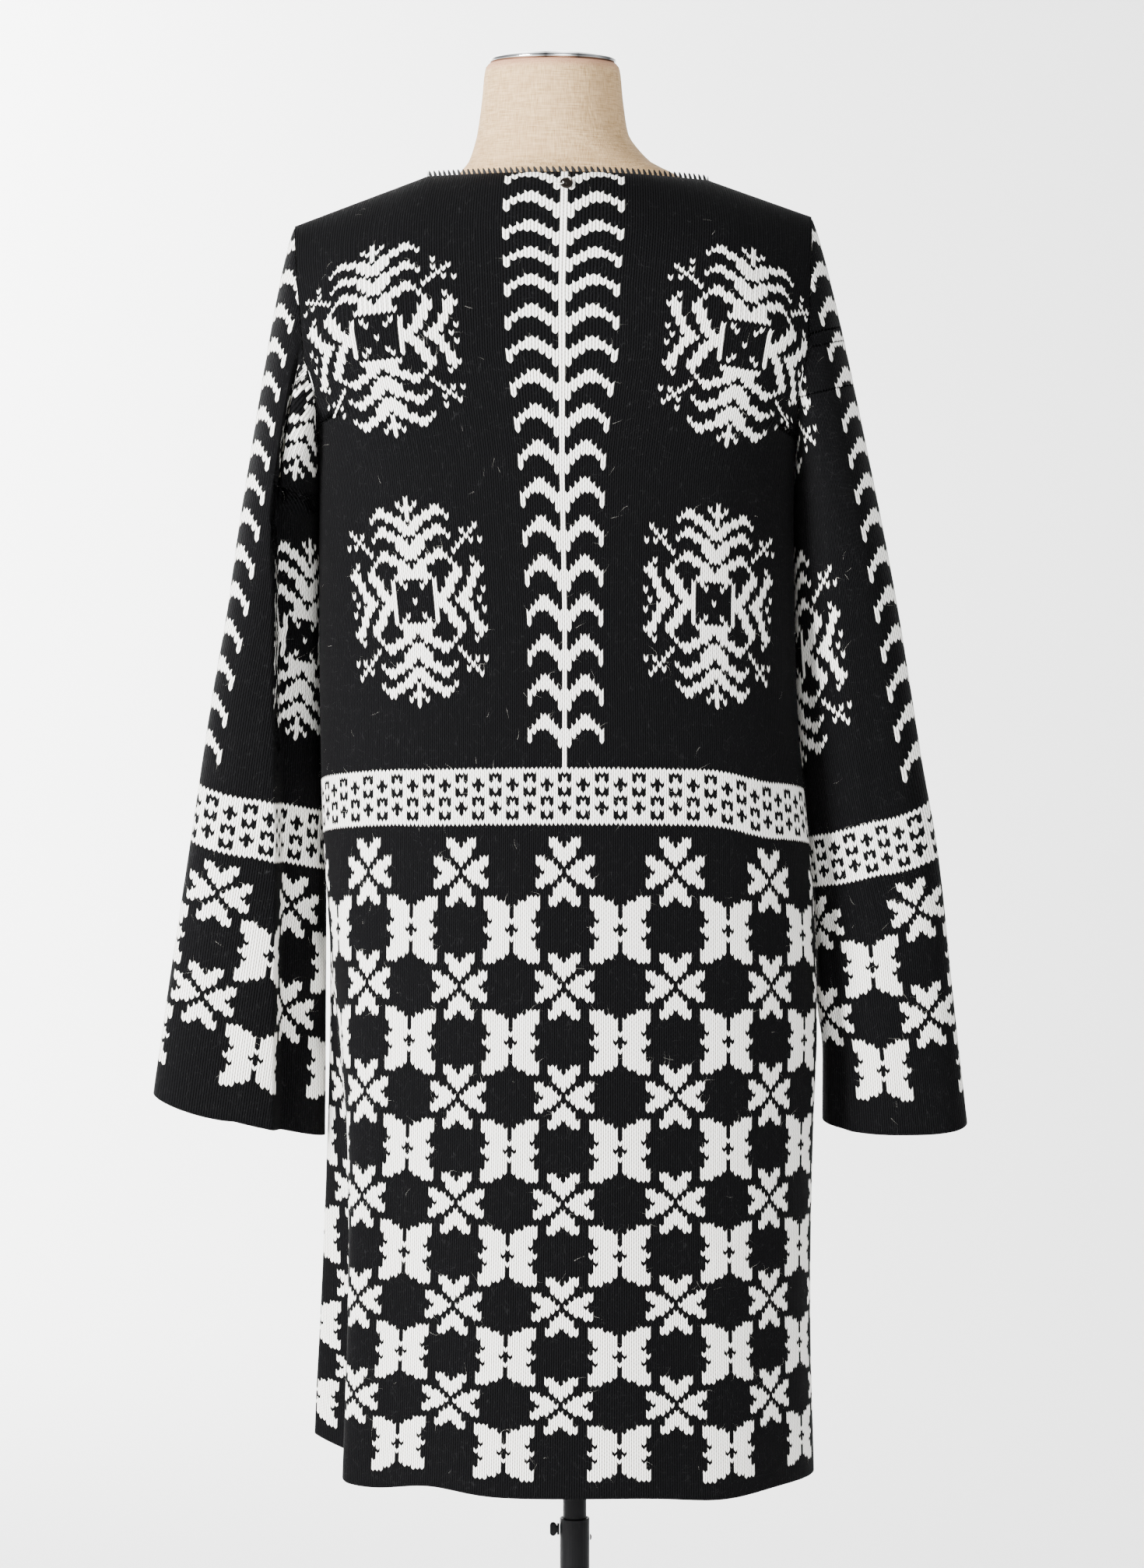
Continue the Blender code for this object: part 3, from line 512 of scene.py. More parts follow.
# A knitted wall: a fine outer grid, a coarse inner one, and rims between them where the wall ends.
def clothMesh(name, outer, inner, rowStops, columnStops, yarn, closed):
    rows, columns = outer.shape[:2]
    points = np.concatenate([outer.reshape(-1, 3), inner.reshape(-1, 3)])
    fineAcross = columns if closed else columns - 1
    i, j = np.meshgrid(np.arange(rows - 1), np.arange(fineAcross), indexing="ij")
    k = (j + 1) % columns
    here, below = i * columns, (i + 1) * columns
    quads = np.stack([here + j, here + k, below + k, below + j], -1).reshape(-1, 4)
    across = np.stack([j, j + 1, j + 1, j], -1).reshape(-1, 4) / 2
    down = np.stack([i, i, i + 1, i + 1], -1).reshape(-1, 4)
    colour = yarn[: rows - 1, :fineAcross].reshape(-1)
    base, wide = rows * columns, inner.shape[1]
    faces = quads.tolist()
    corners = np.stack([across, down], -1).reshape(-1, 2).tolist()
    shades = colour.repeat(4).tolist()
    coarse = wide if closed else wide - 1
    for a in range(len(rowStops) - 1):
        for b in range(coarse):
            c = (b + 1) % wide
            top, foot = base + a * wide, base + (a + 1) * wide
            faces.append([top + b, foot + b, foot + c, top + c])
            shades += [float(colour[rowStops[a] * fineAcross + columnStops[b]])] * 4
            corners += [[columnStops[b] / 2, rowStops[a]]] * 4

    def rim(outerIds, innerIds, stops, flip):
        for n in range(len(innerIds) - 1):
            first, last = stops[n], stops[n + 1]
            middle = (first + last) // 2
            tris = [(innerIds[n], outerIds[m + 1], outerIds[m]) for m in range(first, middle)]
            tris.append((innerIds[n], innerIds[n + 1], outerIds[middle]))
            tris += [(innerIds[n + 1], outerIds[m + 1], outerIds[m]) for m in range(middle, last)]
            for tri in tris:
                faces.append(list(tri[::-1] if flip else tri))
                corners.extend([[0.25, 0.5]] * 3)
                shades.extend([0.0] * 3)

    for row, flip in ((0, False), (rows - 1, True)):
        line = [row * columns + m % columns for m in range(columns + (1 if closed else 0))]
        a = 0 if row == 0 else len(rowStops) - 1
        inside = [base + a * wide + b % wide for b in range(wide + (1 if closed else 0))]
        rim(line, inside, [*columnStops, columns] if closed else columnStops, flip)
    if not closed:
        for column, flip in ((0, True), (columns - 1, False)):
            line = [m * columns + column for m in range(rows)]
            b = 0 if column == 0 else wide - 1
            rim(line, [base + a * wide + b for a in range(len(rowStops))], rowStops, flip)
    obj = newMesh(name, points, faces, [knit], slot="wool_knit")
    layer = obj.data.uv_layers.new(name="stitches")
    layer.data.foreach_set("uv", np.array(corners, np.float32).ravel())
    colours = obj.data.color_attributes.new("yarn", "FLOAT_COLOR", "CORNER")
    value = np.array(shades, np.float32)
    colours.data.foreach_set("color", np.stack([value, value, value, np.ones_like(value)], 1).ravel())
    work = bmesh.new()
    work.from_mesh(obj.data)
    bmesh.ops.remove_doubles(work, verts=work.verts, dist=0.00002)
    bmesh.ops.dissolve_degenerate(work, edges=work.edges, dist=0.00001)
    bmesh.ops.recalc_face_normals(work, faces=work.faces)
    work.to_mesh(obj.data)
    work.free()
    return obj


def colorLinear(text):
    value = [int(text[k:k + 2], 16) / 255 for k in (1, 3, 5)]
    return (*[v / 12.92 if v <= 0.04045 else ((v + 0.055) / 1.055) ** 2.4 for v in value], 1)


def newMaterial(name, **inputs):
    material = bpy.data.materials.new(name)
    material.use_nodes = True
    shader = material.node_tree.nodes["Principled BSDF"]
    for key, value in inputs.items():
        shader.inputs[key.replace("_", " ")].default_value = value
    return material, material.node_tree, shader


# Adds a node, sets its fields, and feeds its inputs from (input, socket or number) pairs.
def addNode(tree, kind, links=(), **values):
    node = tree.nodes.new(kind)
    for key, value in values.items():
        setattr(node, key, value)
    for key, source in links:
        if isinstance(source, bpy.types.NodeSocket):
            tree.links.new(source, node.inputs[key])
        else:
            node.inputs[key].default_value = source
    return node


def mathNode(tree, operation, *inputs):
    return addNode(tree, "ShaderNodeMath", enumerate(inputs), operation=operation).outputs[0]


def mixColours(tree, share, first, second):
    links = [(0, share), (6, first), (7, second)]
    return addNode(tree, "ShaderNodeMix", links, data_type="RGBA").outputs[2]


def rangeNode(tree, value, low, high, first=0.0, last=1.0):
    return addNode(tree, "ShaderNodeMapRange", enumerate((value, low, high, first, last))).outputs[0]


def noiseNode(tree, place, scale, detail, *more):
    links = [(0, place), ("Scale", scale), ("Detail", detail), *more]
    return addNode(tree, "ShaderNodeTexNoise", links).outputs[0]


def bumpInto(tree, shader, height, strength, distance):
    links = [("Height", height), ("Strength", strength), ("Distance", distance)]
    tree.links.new(addNode(tree, "ShaderNodeBump", links).outputs[0], shader.inputs["Normal"])


# Mohair-like jacquard: V-shaped legs from the stitch coordinates, ivory or black by the chart.
def knitMaterial():
    material, tree, shader = newMaterial("mohairKnit", Roughness=0.85)
    uv = addNode(tree, "ShaderNodeUVMap", uv_map="stitches").outputs[0]
    parts = addNode(tree, "ShaderNodeSeparateXYZ", [(0, uv)])
    # A leg is highest along its middle and lowest at its sides and tips.
    leg = mathNode(tree, "FRACT", mathNode(tree, "MULTIPLY", parts.outputs[0], 2.0))
    side = mathNode(tree, "ABSOLUTE", mathNode(tree, "SUBTRACT", leg, 0.5))
    alongLeg = mathNode(tree, "FRACT", parts.outputs[1])
    tip = mathNode(tree, "ABSOLUTE", mathNode(tree, "SUBTRACT", alongLeg, 0.5))
    tip = mathNode(tree, "MULTIPLY", tip, 0.55)
    squares = [mathNode(tree, "MULTIPLY", value, value) for value in (side, tip)]
    total = mathNode(tree, "ADD", *squares)
    height = rangeNode(tree, total, 0.27, 0.05)
    place = addNode(tree, "ShaderNodeTexCoord").outputs["Object"]
    fuzz = noiseNode(tree, place, 900.0, 3.0)
    wisps = noiseNode(tree, place, 260.0, 5.0, ("Distortion", 1.2))
    yarn = addNode(tree, "ShaderNodeVertexColor", layer_name="yarn").outputs[0]
    # Both yarns are painted darker in the gaps between legs, as painted shade: ivory towards grey, black
    # towards a deeper black. Black shows a few paler flecks.
    ivory = mixColours(tree, height, colorLinear("#7d796f"), colorLinear("#faf8f3"))
    fleck = rangeNode(tree, wisps, 0.64, 0.84, 0.0, 0.3)
    ground = mixColours(tree, height, colorLinear("#010101"), colorLinear("#0b0b0c"))
    black = mixColours(tree, fleck, ground, colorLinear("#3a3a3b"))
    tree.links.new(mixColours(tree, yarn, black, ivory), shader.inputs["Base Color"])
    relief = mathNode(tree, "ADD", height, mathNode(tree, "MULTIPLY", fuzz, 0.35))
    bumpInto(tree, shader, relief, 0.8, 0.0006)
    shader.inputs["Specular IOR Level"].default_value = 0.02
    shader.inputs["Sheen Weight"].default_value = 0.008
    shader.inputs["Sheen Roughness"].default_value = 0.5
    return material


# Plain linen, with slubs along both threads.
def linenMaterial():
    material, tree, shader = newMaterial("linenCover", Roughness=0.9)
    place = addNode(tree, "ShaderNodeTexCoord").outputs["Object"]
    threads = []
    for scale in ((1400.0, 1400.0, 90.0), (90.0, 90.0, 1400.0)):
        mapped = addNode(tree, "ShaderNodeMapping", [(0, place), ("Scale", scale)])
        threads.append(noiseNode(tree, mapped.outputs[0], 1.0, 2.0))
    weave = mathNode(tree, "ADD", *threads)
    shade = rangeNode(tree, weave, 0.70, 1.30)
    colour = mixColours(tree, shade, colorLinear("#8f7048"), colorLinear("#c8a87c"))
    # The cover is a little mottled all over, and browner just under the cap.
    height = addNode(tree, "ShaderNodeSeparateXYZ", [(0, place)]).outputs[2]
    spots = rangeNode(tree, noiseNode(tree, place, 38.0, 4.0), 0.45, 0.75, 0.0, 0.35)
    underCapTint = rangeNode(tree, height, 1.4860, 1.4935, 0.0, 0.75)
    spotted = mixColours(tree, spots, colour, colorLinear("#a88660"))
    tree.links.new(mixColours(tree, underCapTint, spotted, colorLinear("#a4705c")), shader.inputs["Base Color"])
    bumpInto(tree, shader, weave, 0.5, 0.0004)
    return material


# Polished metal, its base colour painted with the light and dark reflection bands that a studio throws on a
# rim: place along it, brightness.
def chromeMaterial():
    material, tree, shader = newMaterial("polishedChrome", Metallic=1.0, Roughness=0.12)
    place = addNode(tree, "ShaderNodeTexCoord").outputs["Object"]
    parts = addNode(tree, "ShaderNodeSeparateXYZ", [(0, place)])
    reflectionBands = addNode(tree, "ShaderNodeValToRGB", [(0, rangeNode(tree, parts.outputs[0], -0.031, 0.064))])
    stops = reflectionBands.color_ramp
    # Painted reflection: light and dark bands along the rim, and a darker grey at both ends
    paintedShine = ((0.06, 0.05), (0.16, 0.45), (0.30, 0.10), (0.42, 0.85), (0.55, 0.08), (0.70, 0.75), (0.88, 0.30))
    for at, value in paintedShine:
        stops.elements.new(at).color = (value, value, value, 1)
    stops.elements[0].color = stops.elements[-1].color = (0.25, 0.25, 0.25, 1)
    tree.links.new(reflectionBands.outputs[0], shader.inputs["Base Color"])
    return material


def plainMaterial(name, colour, roughness, **inputs):
    return newMaterial(name, Base_Color=colorLinear(colour), Roughness=roughness, **inputs)[0]


knit = knitMaterial()
linen = linenMaterial()
chrome = chromeMaterial()
# Stove paint on the stand and its clamp, the badge's dark metal, the neck's yarn and the hairs
blackPaint = plainMaterial("blackStove", "#050506", 0.45, Specular_IOR_Level=0.08)
clampMetal = plainMaterial("blackClamp", "#080809", 0.5, Specular_IOR_Level=0.08)
bronze = plainMaterial("darkBronze", "#2f2a26", 0.3, Metallic=1.0)
ivoryWool = plainMaterial("ivoryYarn", "#ebe8df", 0.9)
blackWool = plainMaterial("blackYarn", "#0c0c0d", 0.9)
hair = plainMaterial("mohairHair", "#bdbab2", 0.8)
darkHair = plainMaterial("mohairHairBlack", "#1c1c1d", 0.8)


# Whether each half of each stitch is ivory: rows of a panel by its half stitches
def yarnChart(stitches, settings, spineEnd):
    rows = [r - settings["bandRow"] for r in range(settings["rows"])]
    return np.array([[isIvory(c, r, spineEnd, settings["lattice"]) for c in stitches] for r in rows], float)


# Back (side 0) or one front. Columns of stitches run from the spine, or the opening, to the sides.
def makePanel(name, panel, side):
    places = np.linspace(-1, 1, 241) if side == 0 else np.linspace(0.001, 1, 121) * side
    if side < 0:
        places = places[::-1]
    table, cutRow = panelTable(panel, places)
    outward = table - np.array((body["spine"], -0.05 if panel == "back" else 0.05, 0))
    outward[..., 2] = np.where(rowArc[:, None] < roundArc, 0.15, 0)
    normal = tableNormals(table, outward)
    for edge, place in ((0, places[0]), (-1, places[-1])):
        if abs(place) == 1:
            normal[rowArc >= underarmArc, edge, 1] = 0
            normal[:, edge] /= np.linalg.norm(normal[:, edge], axis=1, keepdims=True)
    insideTable = table - normal * body["wall"]

    # Columns: half stitches, so that even ones lie between stitches
    count = body["halfStitches"]
    if side == 0:
        u = (np.arange(2 * count + 1) - count) / 2
    else:
        u = np.arange(1, count + 1) / 2 if side > 0 else -np.arange(count, 0, -1) / 2
    rows = np.arange(body["rows"] + 1)
    middle = len(places) // 2 if side == 0 else (0 if side > 0 else len(places) - 1)
    length = runLengths(table, 1)
    length -= length[:, [middle]]
    near, far = readLinear(spineWidth, 1, rows) / 1000, readLinear(sideWidth, 1, rows) / 1000
    place = np.zeros((len(rows), len(u)))
    room = np.zeros_like(place)
    gap, frondEdge, flank = 0.5 if side else 0.0, body["frondEdge"], body["flank"]
    for r in rows:
        drift = 0 if side else float(readLinear(spineDrift, 1, r)) / 1000
        low = ramp((r - 95) / 46)
        for sign in (-1, 1):
            pick = u * sign > 0 if sign < 0 else u >= 0
            if side * sign < 0 or not pick.any():
                continue
            end = abs(length[r, 0] if sign < 0 else length[r, -1]) - sign * drift
            wide = float(readLinear(lowWidth, 1 if sign > 0 else 2, r)) / 1000
            marks = np.array([gap, frondEdge, flank, count / 2])
            beside, outside = (flank - frondEdge) * far[r], (count / 2 - flank) * far[r]
            upper = np.cumsum([0, (frondEdge - gap) * near[r], beside, outside])
            lower = np.array([0, (frondEdge - gap) * wide, (flank - gap) * wide, end])
            s = np.interp(abs(u[pick]), marks, upper * (1 - low) + lower * low)
            place[r, pick] = np.interp(sign * s + drift, length[r], np.arange(len(places)))
            room[r, pick] = end - s
    zig = np.where(np.round(u * 2) % 2 == 0, legs["zig"], -legs["zig"])[None, :]
    zig = zig * np.clip(room / legs["full"], 0, 1)
    if side != 0:
        zig[:, 0 if side > 0 else -1] = 0
    askew = np.zeros_like(place)
    for sign, first, width, at, reach, amount in skews if side == 0 else ():
        askew += amount * ramp((u * sign - first) / width)[None, :] * bump((rows - at) / reach)[:, None]
    zig = zig + rng.normal(0, legs["uneven"], zig.shape) * np.clip(room / 0.004, 0, 1)
    row = rows[:, None] + zig + askew * ramp((body["rows"] - rows) / 40)[:, None]
    row = np.clip(row, 0, body["rows"])
    row[0], row[-1] = 0, body["rows"]
    if panel == "front":
        row = np.maximum(row, np.interp(place, np.arange(len(places)), cutRow))
    outer = sample(table, row, place)
    rowStops = [*range(0, 66, 3), *range(66, 319, 11), 319]
    columnStops = list(range(0, len(u), 5 if side == 0 else 8))
    if columnStops[-1] != len(u) - 1:
        columnStops.append(len(u) - 1)
    inner = sample(insideTable, row[rowStops][:, columnStops], place[rowStops][:, columnStops])
    first = round(u[0] + 0.5)
    yarn = yarnChart(range(first, first + len(u) // 2), body, 0).repeat(2, axis=1)
    obj = clothMesh(name, outer, inner, rowStops, columnStops, yarn, closed=False)
    return obj, table, normal, outer, yarn, cutRow, places


# The armhole's edge: turn is 0 at the shoulder tip, a quarter at the back and a half at the underarm.
def armhole(side, turn):
    f = float(side)
    up = np.minimum(turn, 1 - turn) * 4
    found = []
    for t, k in zip(turn, up):
        panel = "back" if t <= 0.5 else "front"
        if k <= 1:
            found.append(roundPoints(panel, f, k * math.pi / 2))
        else:
            down = math.sin((k - 1) * math.pi / 2)
            found.append(lowerPoints(panel, f, roundArc + (underarmArc - roundArc) * down))
    found = np.array(found)
    found[:, 0] += side * sleeve["seam"]
    return found


# A ring of the hanging tube: turn is 0 at the outer edge and a quarter at the back, whose corner is fuller.
def sleeveRing(which, turn, z):
    turn, z = np.broadcast_arrays(turn, z)
    outer, inner, middle, depth, tilt = [read(which["table"], k, z) for k in range(1, 6)]
    closer, fade = which["inward"]
    inner = inner - which["side"] * closer * ramp((z - fade) / 0.04)
    angle = 2 * math.pi * turn
    width, share, top, length = which["fold"]
    at = readLinear(which["foldAt"], 1, z)
    taken = np.where(turn < 0.5, ramp((top - z) / length) * share * ramp((np.degrees(angle) - at) / width), 0)
    for level, reach, place, wide, depthShare in sleeveCreases:
        taken = taken + depthShare * bump((z - level) / reach) * bump((turn - place) / wide)
    full = ramp((1.20 - z) / 0.15)
    c, s = np.cos(angle), np.sin(angle)
    power = 2 / (2 + np.where(c > 0, 1.0, 0.0) * full)
    across, back = np.sign(c) * abs(c) ** power, np.sign(s) * abs(s) ** power
    x = (outer + inner) / 2 + (outer - inner) / 2 * across * (1 - 0.10 * full * ramp(across) * (1 - back) / 2)
    y = middle + depth * back * (1 - taken)
    sag = which["sag"] * ramp((0.86 - z) / 0.15) * np.maximum(0, s)
    return np.stack([x, y, z + tilt * c - sag], -1)


# Points at each row and turn. Above the cap's row, rows are measured up from it and end at the armhole.
def sleeveTable(which, turns):
    side, capRow = which["side"], sleeve["capRow"]
    rows = np.arange(capRow, sleeve["rows"] + 1)
    marks = [capRow, sleeve["bandRow"], sleeve["bandRow"] + 12, sleeve["rows"]]
    z = np.interp(rows, marks, [sleeve["capZ"], *which["bandZ"], which["cuffZ"]])
    tube = sleeveRing(which, turns[None, :], z[:, None])
    begin, end = armhole(side, turns), sleeveRing(which, turns, sleeve["capZ"])
    above = sleeveRing(which, turns, sleeve["capZ"] + 0.01)
    span = np.linalg.norm(end - begin, axis=1, keepdims=True)
    up = np.cos(2 * math.pi * turns)
    leave = 0.42 + np.where(up > 0, -0.14, 0.42) * up - 0.3 * ramp((-up - 0.6) / 0.4)
    leaving = np.stack([side * leave, 0.15 * np.sin(2 * math.pi * turns), -0.81 + 0.19 * up], -1)
    leaving /= np.linalg.norm(leaving, axis=1, keepdims=True)
    arriving = (above - end) / np.linalg.norm(above - end, axis=1, keepdims=True)
    first, second = begin + leaving * span * 0.12, end + arriving * span * 0.40
    t = np.linspace(0, 1, 80)[:, None, None]
    curve = (1 - t) ** 3 * begin + 3 * t * (1 - t) ** 2 * first + 3 * t * t * (1 - t) * second + t**3 * end
    fromEnd = runLengths(curve[::-1], 0)
    pitch = (sleeve["capZ"] - which["bandZ"][0]) / (sleeve["bandRow"] - capRow)
    pitch = min(pitch, fromEnd[-1].max() / capRow)
    cap = np.zeros((capRow, len(turns), 3))
    for k in range(len(turns)):
        want = (capRow - np.arange(capRow)) * pitch
        share = np.interp(want, fromEnd[:, k], np.linspace(1, 0, 80))
        for c in range(3):
            cap[:, k, c] = np.interp(share, t[:, 0, 0], curve[:, k, c])
    return np.concatenate([cap, tube])


def makeSleeve(name, which):
    around = sleeve["around"]
    turns = np.linspace(0, 1, around + 1)
    table = sleeveTable(which, turns)
    centre = table[:, :-1].mean(1, keepdims=True)
    padded = np.concatenate([table[:, -2:-1], table, table[:, 1:2]], 1)
    normal = tableNormals(padded, padded - centre)[:, 1:-1]
    for r in range(len(table) - 2, -1, -1):
        hold = np.linalg.norm(table[r + 1] - table[r], axis=1) < 1e-7
        normal[r, hold] = normal[r + 1, hold]
    insideTable = table - normal * body["wall"]
    count = 2 * sleeve["stitches"]
    # Stitches are spread by what shows: from the outer edge to the fold, in it, past it, and round the front.
    rows = np.arange(len(table))
    marks = [30, sleeve["capRow"], sleeve["rows"]]
    levels = np.interp(rows, marks, [1.28, sleeve["capZ"], which["cuffZ"]])
    place = np.zeros((len(table), count))
    for r, z in enumerate(levels):
        reach = table[r, :around // 4, 0] * which["side"]
        edge = int(np.flatnonzero(reach > reach.max() - 0.0015)[-1])
        at = float(readLinear(which["foldAt"], 1, z))
        bounds = [at / (360 / around), (at + which["fold"][0]) / (360 / around)]
        # Out to the fold, stitches are as wide as they look from behind.
        seen = np.linalg.norm(np.diff(table[r], axis=0), axis=1)
        showing = slice(edge, int(bounds[0]))
        seen[showing] = 0.1 * seen[showing] + 0.9 * abs(np.diff(table[r, :, 0]))[showing]
        run = np.concatenate([[0], np.cumsum(seen)])
        arcs = np.interp([edge, *bounds, around // 2], np.arange(around + 1), run)
        first, before, after = [float(readLinear(which["columns"], k, z)) for k in (1, 2, 3)]
        wide = min(float(readLinear(which["fronds"], 1, z)), 0.97 * (arcs[1] - arcs[0]))
        last = after + (arcs[3] - arcs[2]) / 0.0036
        marks = [first, 8.6, before, after, last, first + sleeve["stitches"]]
        whole = run[-1]
        arcs = [arcs[0], arcs[0] + wide, *arcs[1:], whole + arcs[0]]
        share = min(1, r / sleeve["capRow"])
        even = [arcs[0] + (m - first) / sleeve["stitches"] * whole for m in marks]
        arcs = [a * share + b * (1 - share) for a, b in zip(arcs, even)]
        stitch = (np.arange(count) / 2 - first) % sleeve["stitches"] + first
        place[r] = np.interp(np.interp(stitch, marks, arcs) % whole, run, np.arange(around + 1))
    zig = np.where(np.arange(count) % 2 == 0, legs["zig"], -legs["zig"])[None, :] * np.ones((len(table), 1))
    level = rows[:, None] + 0 * place
    low, here = sample(table, np.clip(level + 1.0, 0, len(table) - 1), place), sample(table, level, place)
    zig = zig * np.clip(np.linalg.norm(low - here, axis=2) / legs["full"], 0, 1)
    zig = zig + rng.normal(0, legs["uneven"], zig.shape) * np.clip(rows[:, None] / 8 - 1, 0, 1)
    zig[-1] = 0
    row = np.clip(rows[:, None] + zig, 0, len(table) - 1)
    row[0] = 0
    outer = sample(table, row, place)
    rowStops = [*range(0, 69, 3), *range(69, 205, 8), 205]
    columnStops = list(range(0, count, 4))
    inner = sample(insideTable, row[rowStops][:, columnStops], place[rowStops][:, columnStops])
    # Column c spans half stitches c*2-1 to c*2+1 round the spine at the outer edge.
    half = sleeve["stitches"] // 2
    yarn = yarnChart([((k + 1) // 2 + half) % (2 * half) - half for k in range(count)], sleeve, -5)
    obj = clothMesh(name, outer, inner, rowStops, columnStops, yarn, closed=True)
    return obj, outer, yarn


# Stray hairs that stand off a panel: short bent strips from points of its outer grid.
def makeFibres(name, outer, yarn, count, outward):
    points, faces, shades = [], [], []
    normal = np.cross(np.gradient(outer, axis=1), np.gradient(outer, axis=0))
    normal /= np.maximum(np.linalg.norm(normal, axis=2, keepdims=True), 1e-12)
    normal *= np.where((normal * outward).sum(2, keepdims=True) < 0, -1, 1)
    rows, columns = outer.shape[:2]
    i = rng.integers(1, rows - 2, count)
    j = rng.integers(1, columns - 2, count)
    for a, b in zip(i, j):
        base, out = outer[a, b], normal[a, b]
        step = outer[a, b + 1] - base
        if np.linalg.norm(step) < 0.0004 or np.linalg.norm(outer[a + 1, b] - base) < 0.0008:
            continue
        along = rng.normal(size=3)
        along -= out * along.dot(out)
        along /= np.linalg.norm(along)
        bend = np.cross(out, along) * rng.uniform(-0.6, 0.6)
        long, high, wide = [rng.uniform(*fibres[key]) for key in ("long", "high", "wide")]
        ivory = yarn[a, b] > 0.5 or rng.random() < fibres["stray"]
        first = len(points)
        for t in (0.0, 0.35, 0.7, 1.0):
            centre = base + (along * t + bend * t * t) * long + out * (high * math.sin(2.4 * t) + 0.0001)
            across = np.cross(along, out) * wide * (1.1 - t)
            points += [centre - across, centre + across]
        faces += [(first + k, first + k + 1, first + k + 3, first + k + 2) for k in (0, 2, 4)]
        shades += [0 if ivory else 1] * 3
    obj = newMesh(name, points, faces, [hair, darkHair], slot="wool_knit")
    obj.data.polygons.foreach_set("material_index", shades)
    return obj


# A round tube along a path: its points and faces.
def tubeAlong(path, radius, sides=8, closed=False):
    path = np.array(path)
    count = len(path)
    ahead = np.roll(path, -1, 0) - np.roll(path, 1, 0) if closed else np.gradient(path, axis=0)
    ahead /= np.linalg.norm(ahead, axis=1, keepdims=True)
    side = np.cross(ahead, (0.0, 0.0, 1.0))
    side[np.linalg.norm(side, axis=1) < 0.05] = (1, 0, 0)
    side /= np.linalg.norm(side, axis=1, keepdims=True)
    up = np.cross(side, ahead)
    points, faces = [], []
    for k in range(count):
        for s in range(sides):
            angle = 2 * math.pi * s / sides
            points.append(path[k] + radius * (math.cos(angle) * side[k] + math.sin(angle) * up[k]))
    for k in range(count if closed else count - 1):
        for s in range(sides):
            t, n = (s + 1) % sides, (k + 1) % count
            faces.append((k * sides + s, k * sides + t, n * sides + t, n * sides + s))
    if not closed:
        faces += [tuple(range(sides - 1, -1, -1)), tuple((count - 1) * sides + s for s in range(sides))]
    return points, faces


# A closed body from rings of equal count, with both ends filled.
def ringBody(name, rings, material, body, slot):
    around = len(rings[0])
    points = [p for ring in rings for p in ring]
    faces = []
    for i in range(len(rings) - 1):
        for j in range(around):
            low, high, k = i * around, (i + 1) * around, (j + 1) % around
            faces.append((low + j, low + k, high + k, high + j))
    faces += [tuple(range(around - 1, -1, -1)), tuple((len(rings) - 1) * around + j for j in range(around))]
    obj = newMesh(name, points, faces, [material], body=body, slot=slot)
    work = bmesh.new()
    work.from_mesh(obj.data)
    bmesh.ops.recalc_face_normals(work, faces=work.faces)
    work.to_mesh(obj.data)
    work.free()
    obj.data.set_sharp_from_angle(angle=math.radians(40))
    return obj


def sectionRing(centre, half, back, front, power, z, sides):
    angle = np.arange(sides) * 2 * math.pi / sides
    c, s = np.cos(angle), np.sin(angle)
    x = centre + half * np.sign(c) * abs(c) ** (2 / power)
    y = np.where(s > 0, back, front) * np.sign(s) * abs(s) ** (2 / power)
    return np.stack([x, y, np.full(sides, z)], 1)


def makeForm():
    heights = [form[0][0], 0.798, form[1][0], 0.805, form[2][0]]
    heights += [*np.arange(0.826, 1.34, 0.014), *np.arange(1.34, 1.49, 0.004), 1.4905, 1.4925, 1.4935]
    rings = [sectionRing(0, 0.0093, 0.0093, 0.0093, 2, z, 96) for z in (0.8703, form[0][0])]
    for z in heights:
        values = [float(read(form, k, z)) for k in range(1, 6)]
        if z > 1.36:
            values = [float(readLinear(form, k, z)) * 0.5 + values[k - 1] * 0.5 for k in range(1, 6)]
        rings.append(sectionRing(*values, z, 96))
    obj = ringBody("linenForm", rings, linen, "dressed_form", "linen")
    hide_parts("form_body")
    low = 1.4938
    # radius, height
    profile = ((0.0455, 0), (0.0466, 0.0003), (0.0472, 0.0011), (0.0472, 0.0021), (0.0466, 0.0029),
               (0.0458, 0.0031), (0.0452, 0.0034), (0.0440, 0.0042), (0.0400, 0.0050), (0.0300, 0.0056),
               (0.0150, 0.0059), (0.002, 0.006))
    cap = [sectionRing(0.0165, r, r, r, 2, low + z, 96) for r, z in profile]
    top = ringBody("neckCapDome", cap, chrome, "dressed_form", "chrome")
    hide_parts("neck_cap")


# A round stud on the back, its face raised to a rim, hung on a thread.
def makeBadge():
    turn = math.pi / 2 * 0.0170 / body["roundArc"] * 1.9
    here, below = roundPoints("back", 0.0, turn), roundPoints("back", 0.0, turn + 0.01)
    down = (below - here) / np.linalg.norm(below - here)
    out = np.cross(down, (1.0, 0.0, 0.0))
    out = out if out[1] > 0 else -out
    base = here + out * 0.0006
    right = np.array((1.0, 0, 0))
    # radius, height
    profile = ((0.0040, 0), (0.0046, 0.0003), (0.0047, 0.0007), (0.0046, 0.0012), (0.0042, 0.0014),
               (0.0039, 0.0012), (0.0037, 0.0010), (0.0022, 0.0011), (0.0004, 0.00115))
    angle = np.arange(48) * 2 * math.pi / 48
    spokes = np.cos(angle)[:, None] * right + np.sin(angle)[:, None] * down
    rings = [base + out * height + radius * spokes for radius, height in profile]
    stud = ringBody("neckStud", rings, bronze, "dressed_form", "badge_metal")
    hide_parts("badge")
    loop = []
    for k in range(24):
        angle = 2 * math.pi * k / 24
        aside = right * (0.0052 + 0.0032 * math.cos(angle))
        point = base + out * (0.0012 + 0.0006 * math.sin(angle)) + aside
        loop.append(point + down * 0.0016 * math.sin(angle))
    points, faces = tubeAlong(loop, 0.0003, 6, closed=True)
    return newMesh("studThread", points, faces, [ivoryWool], slot="wool_knit")


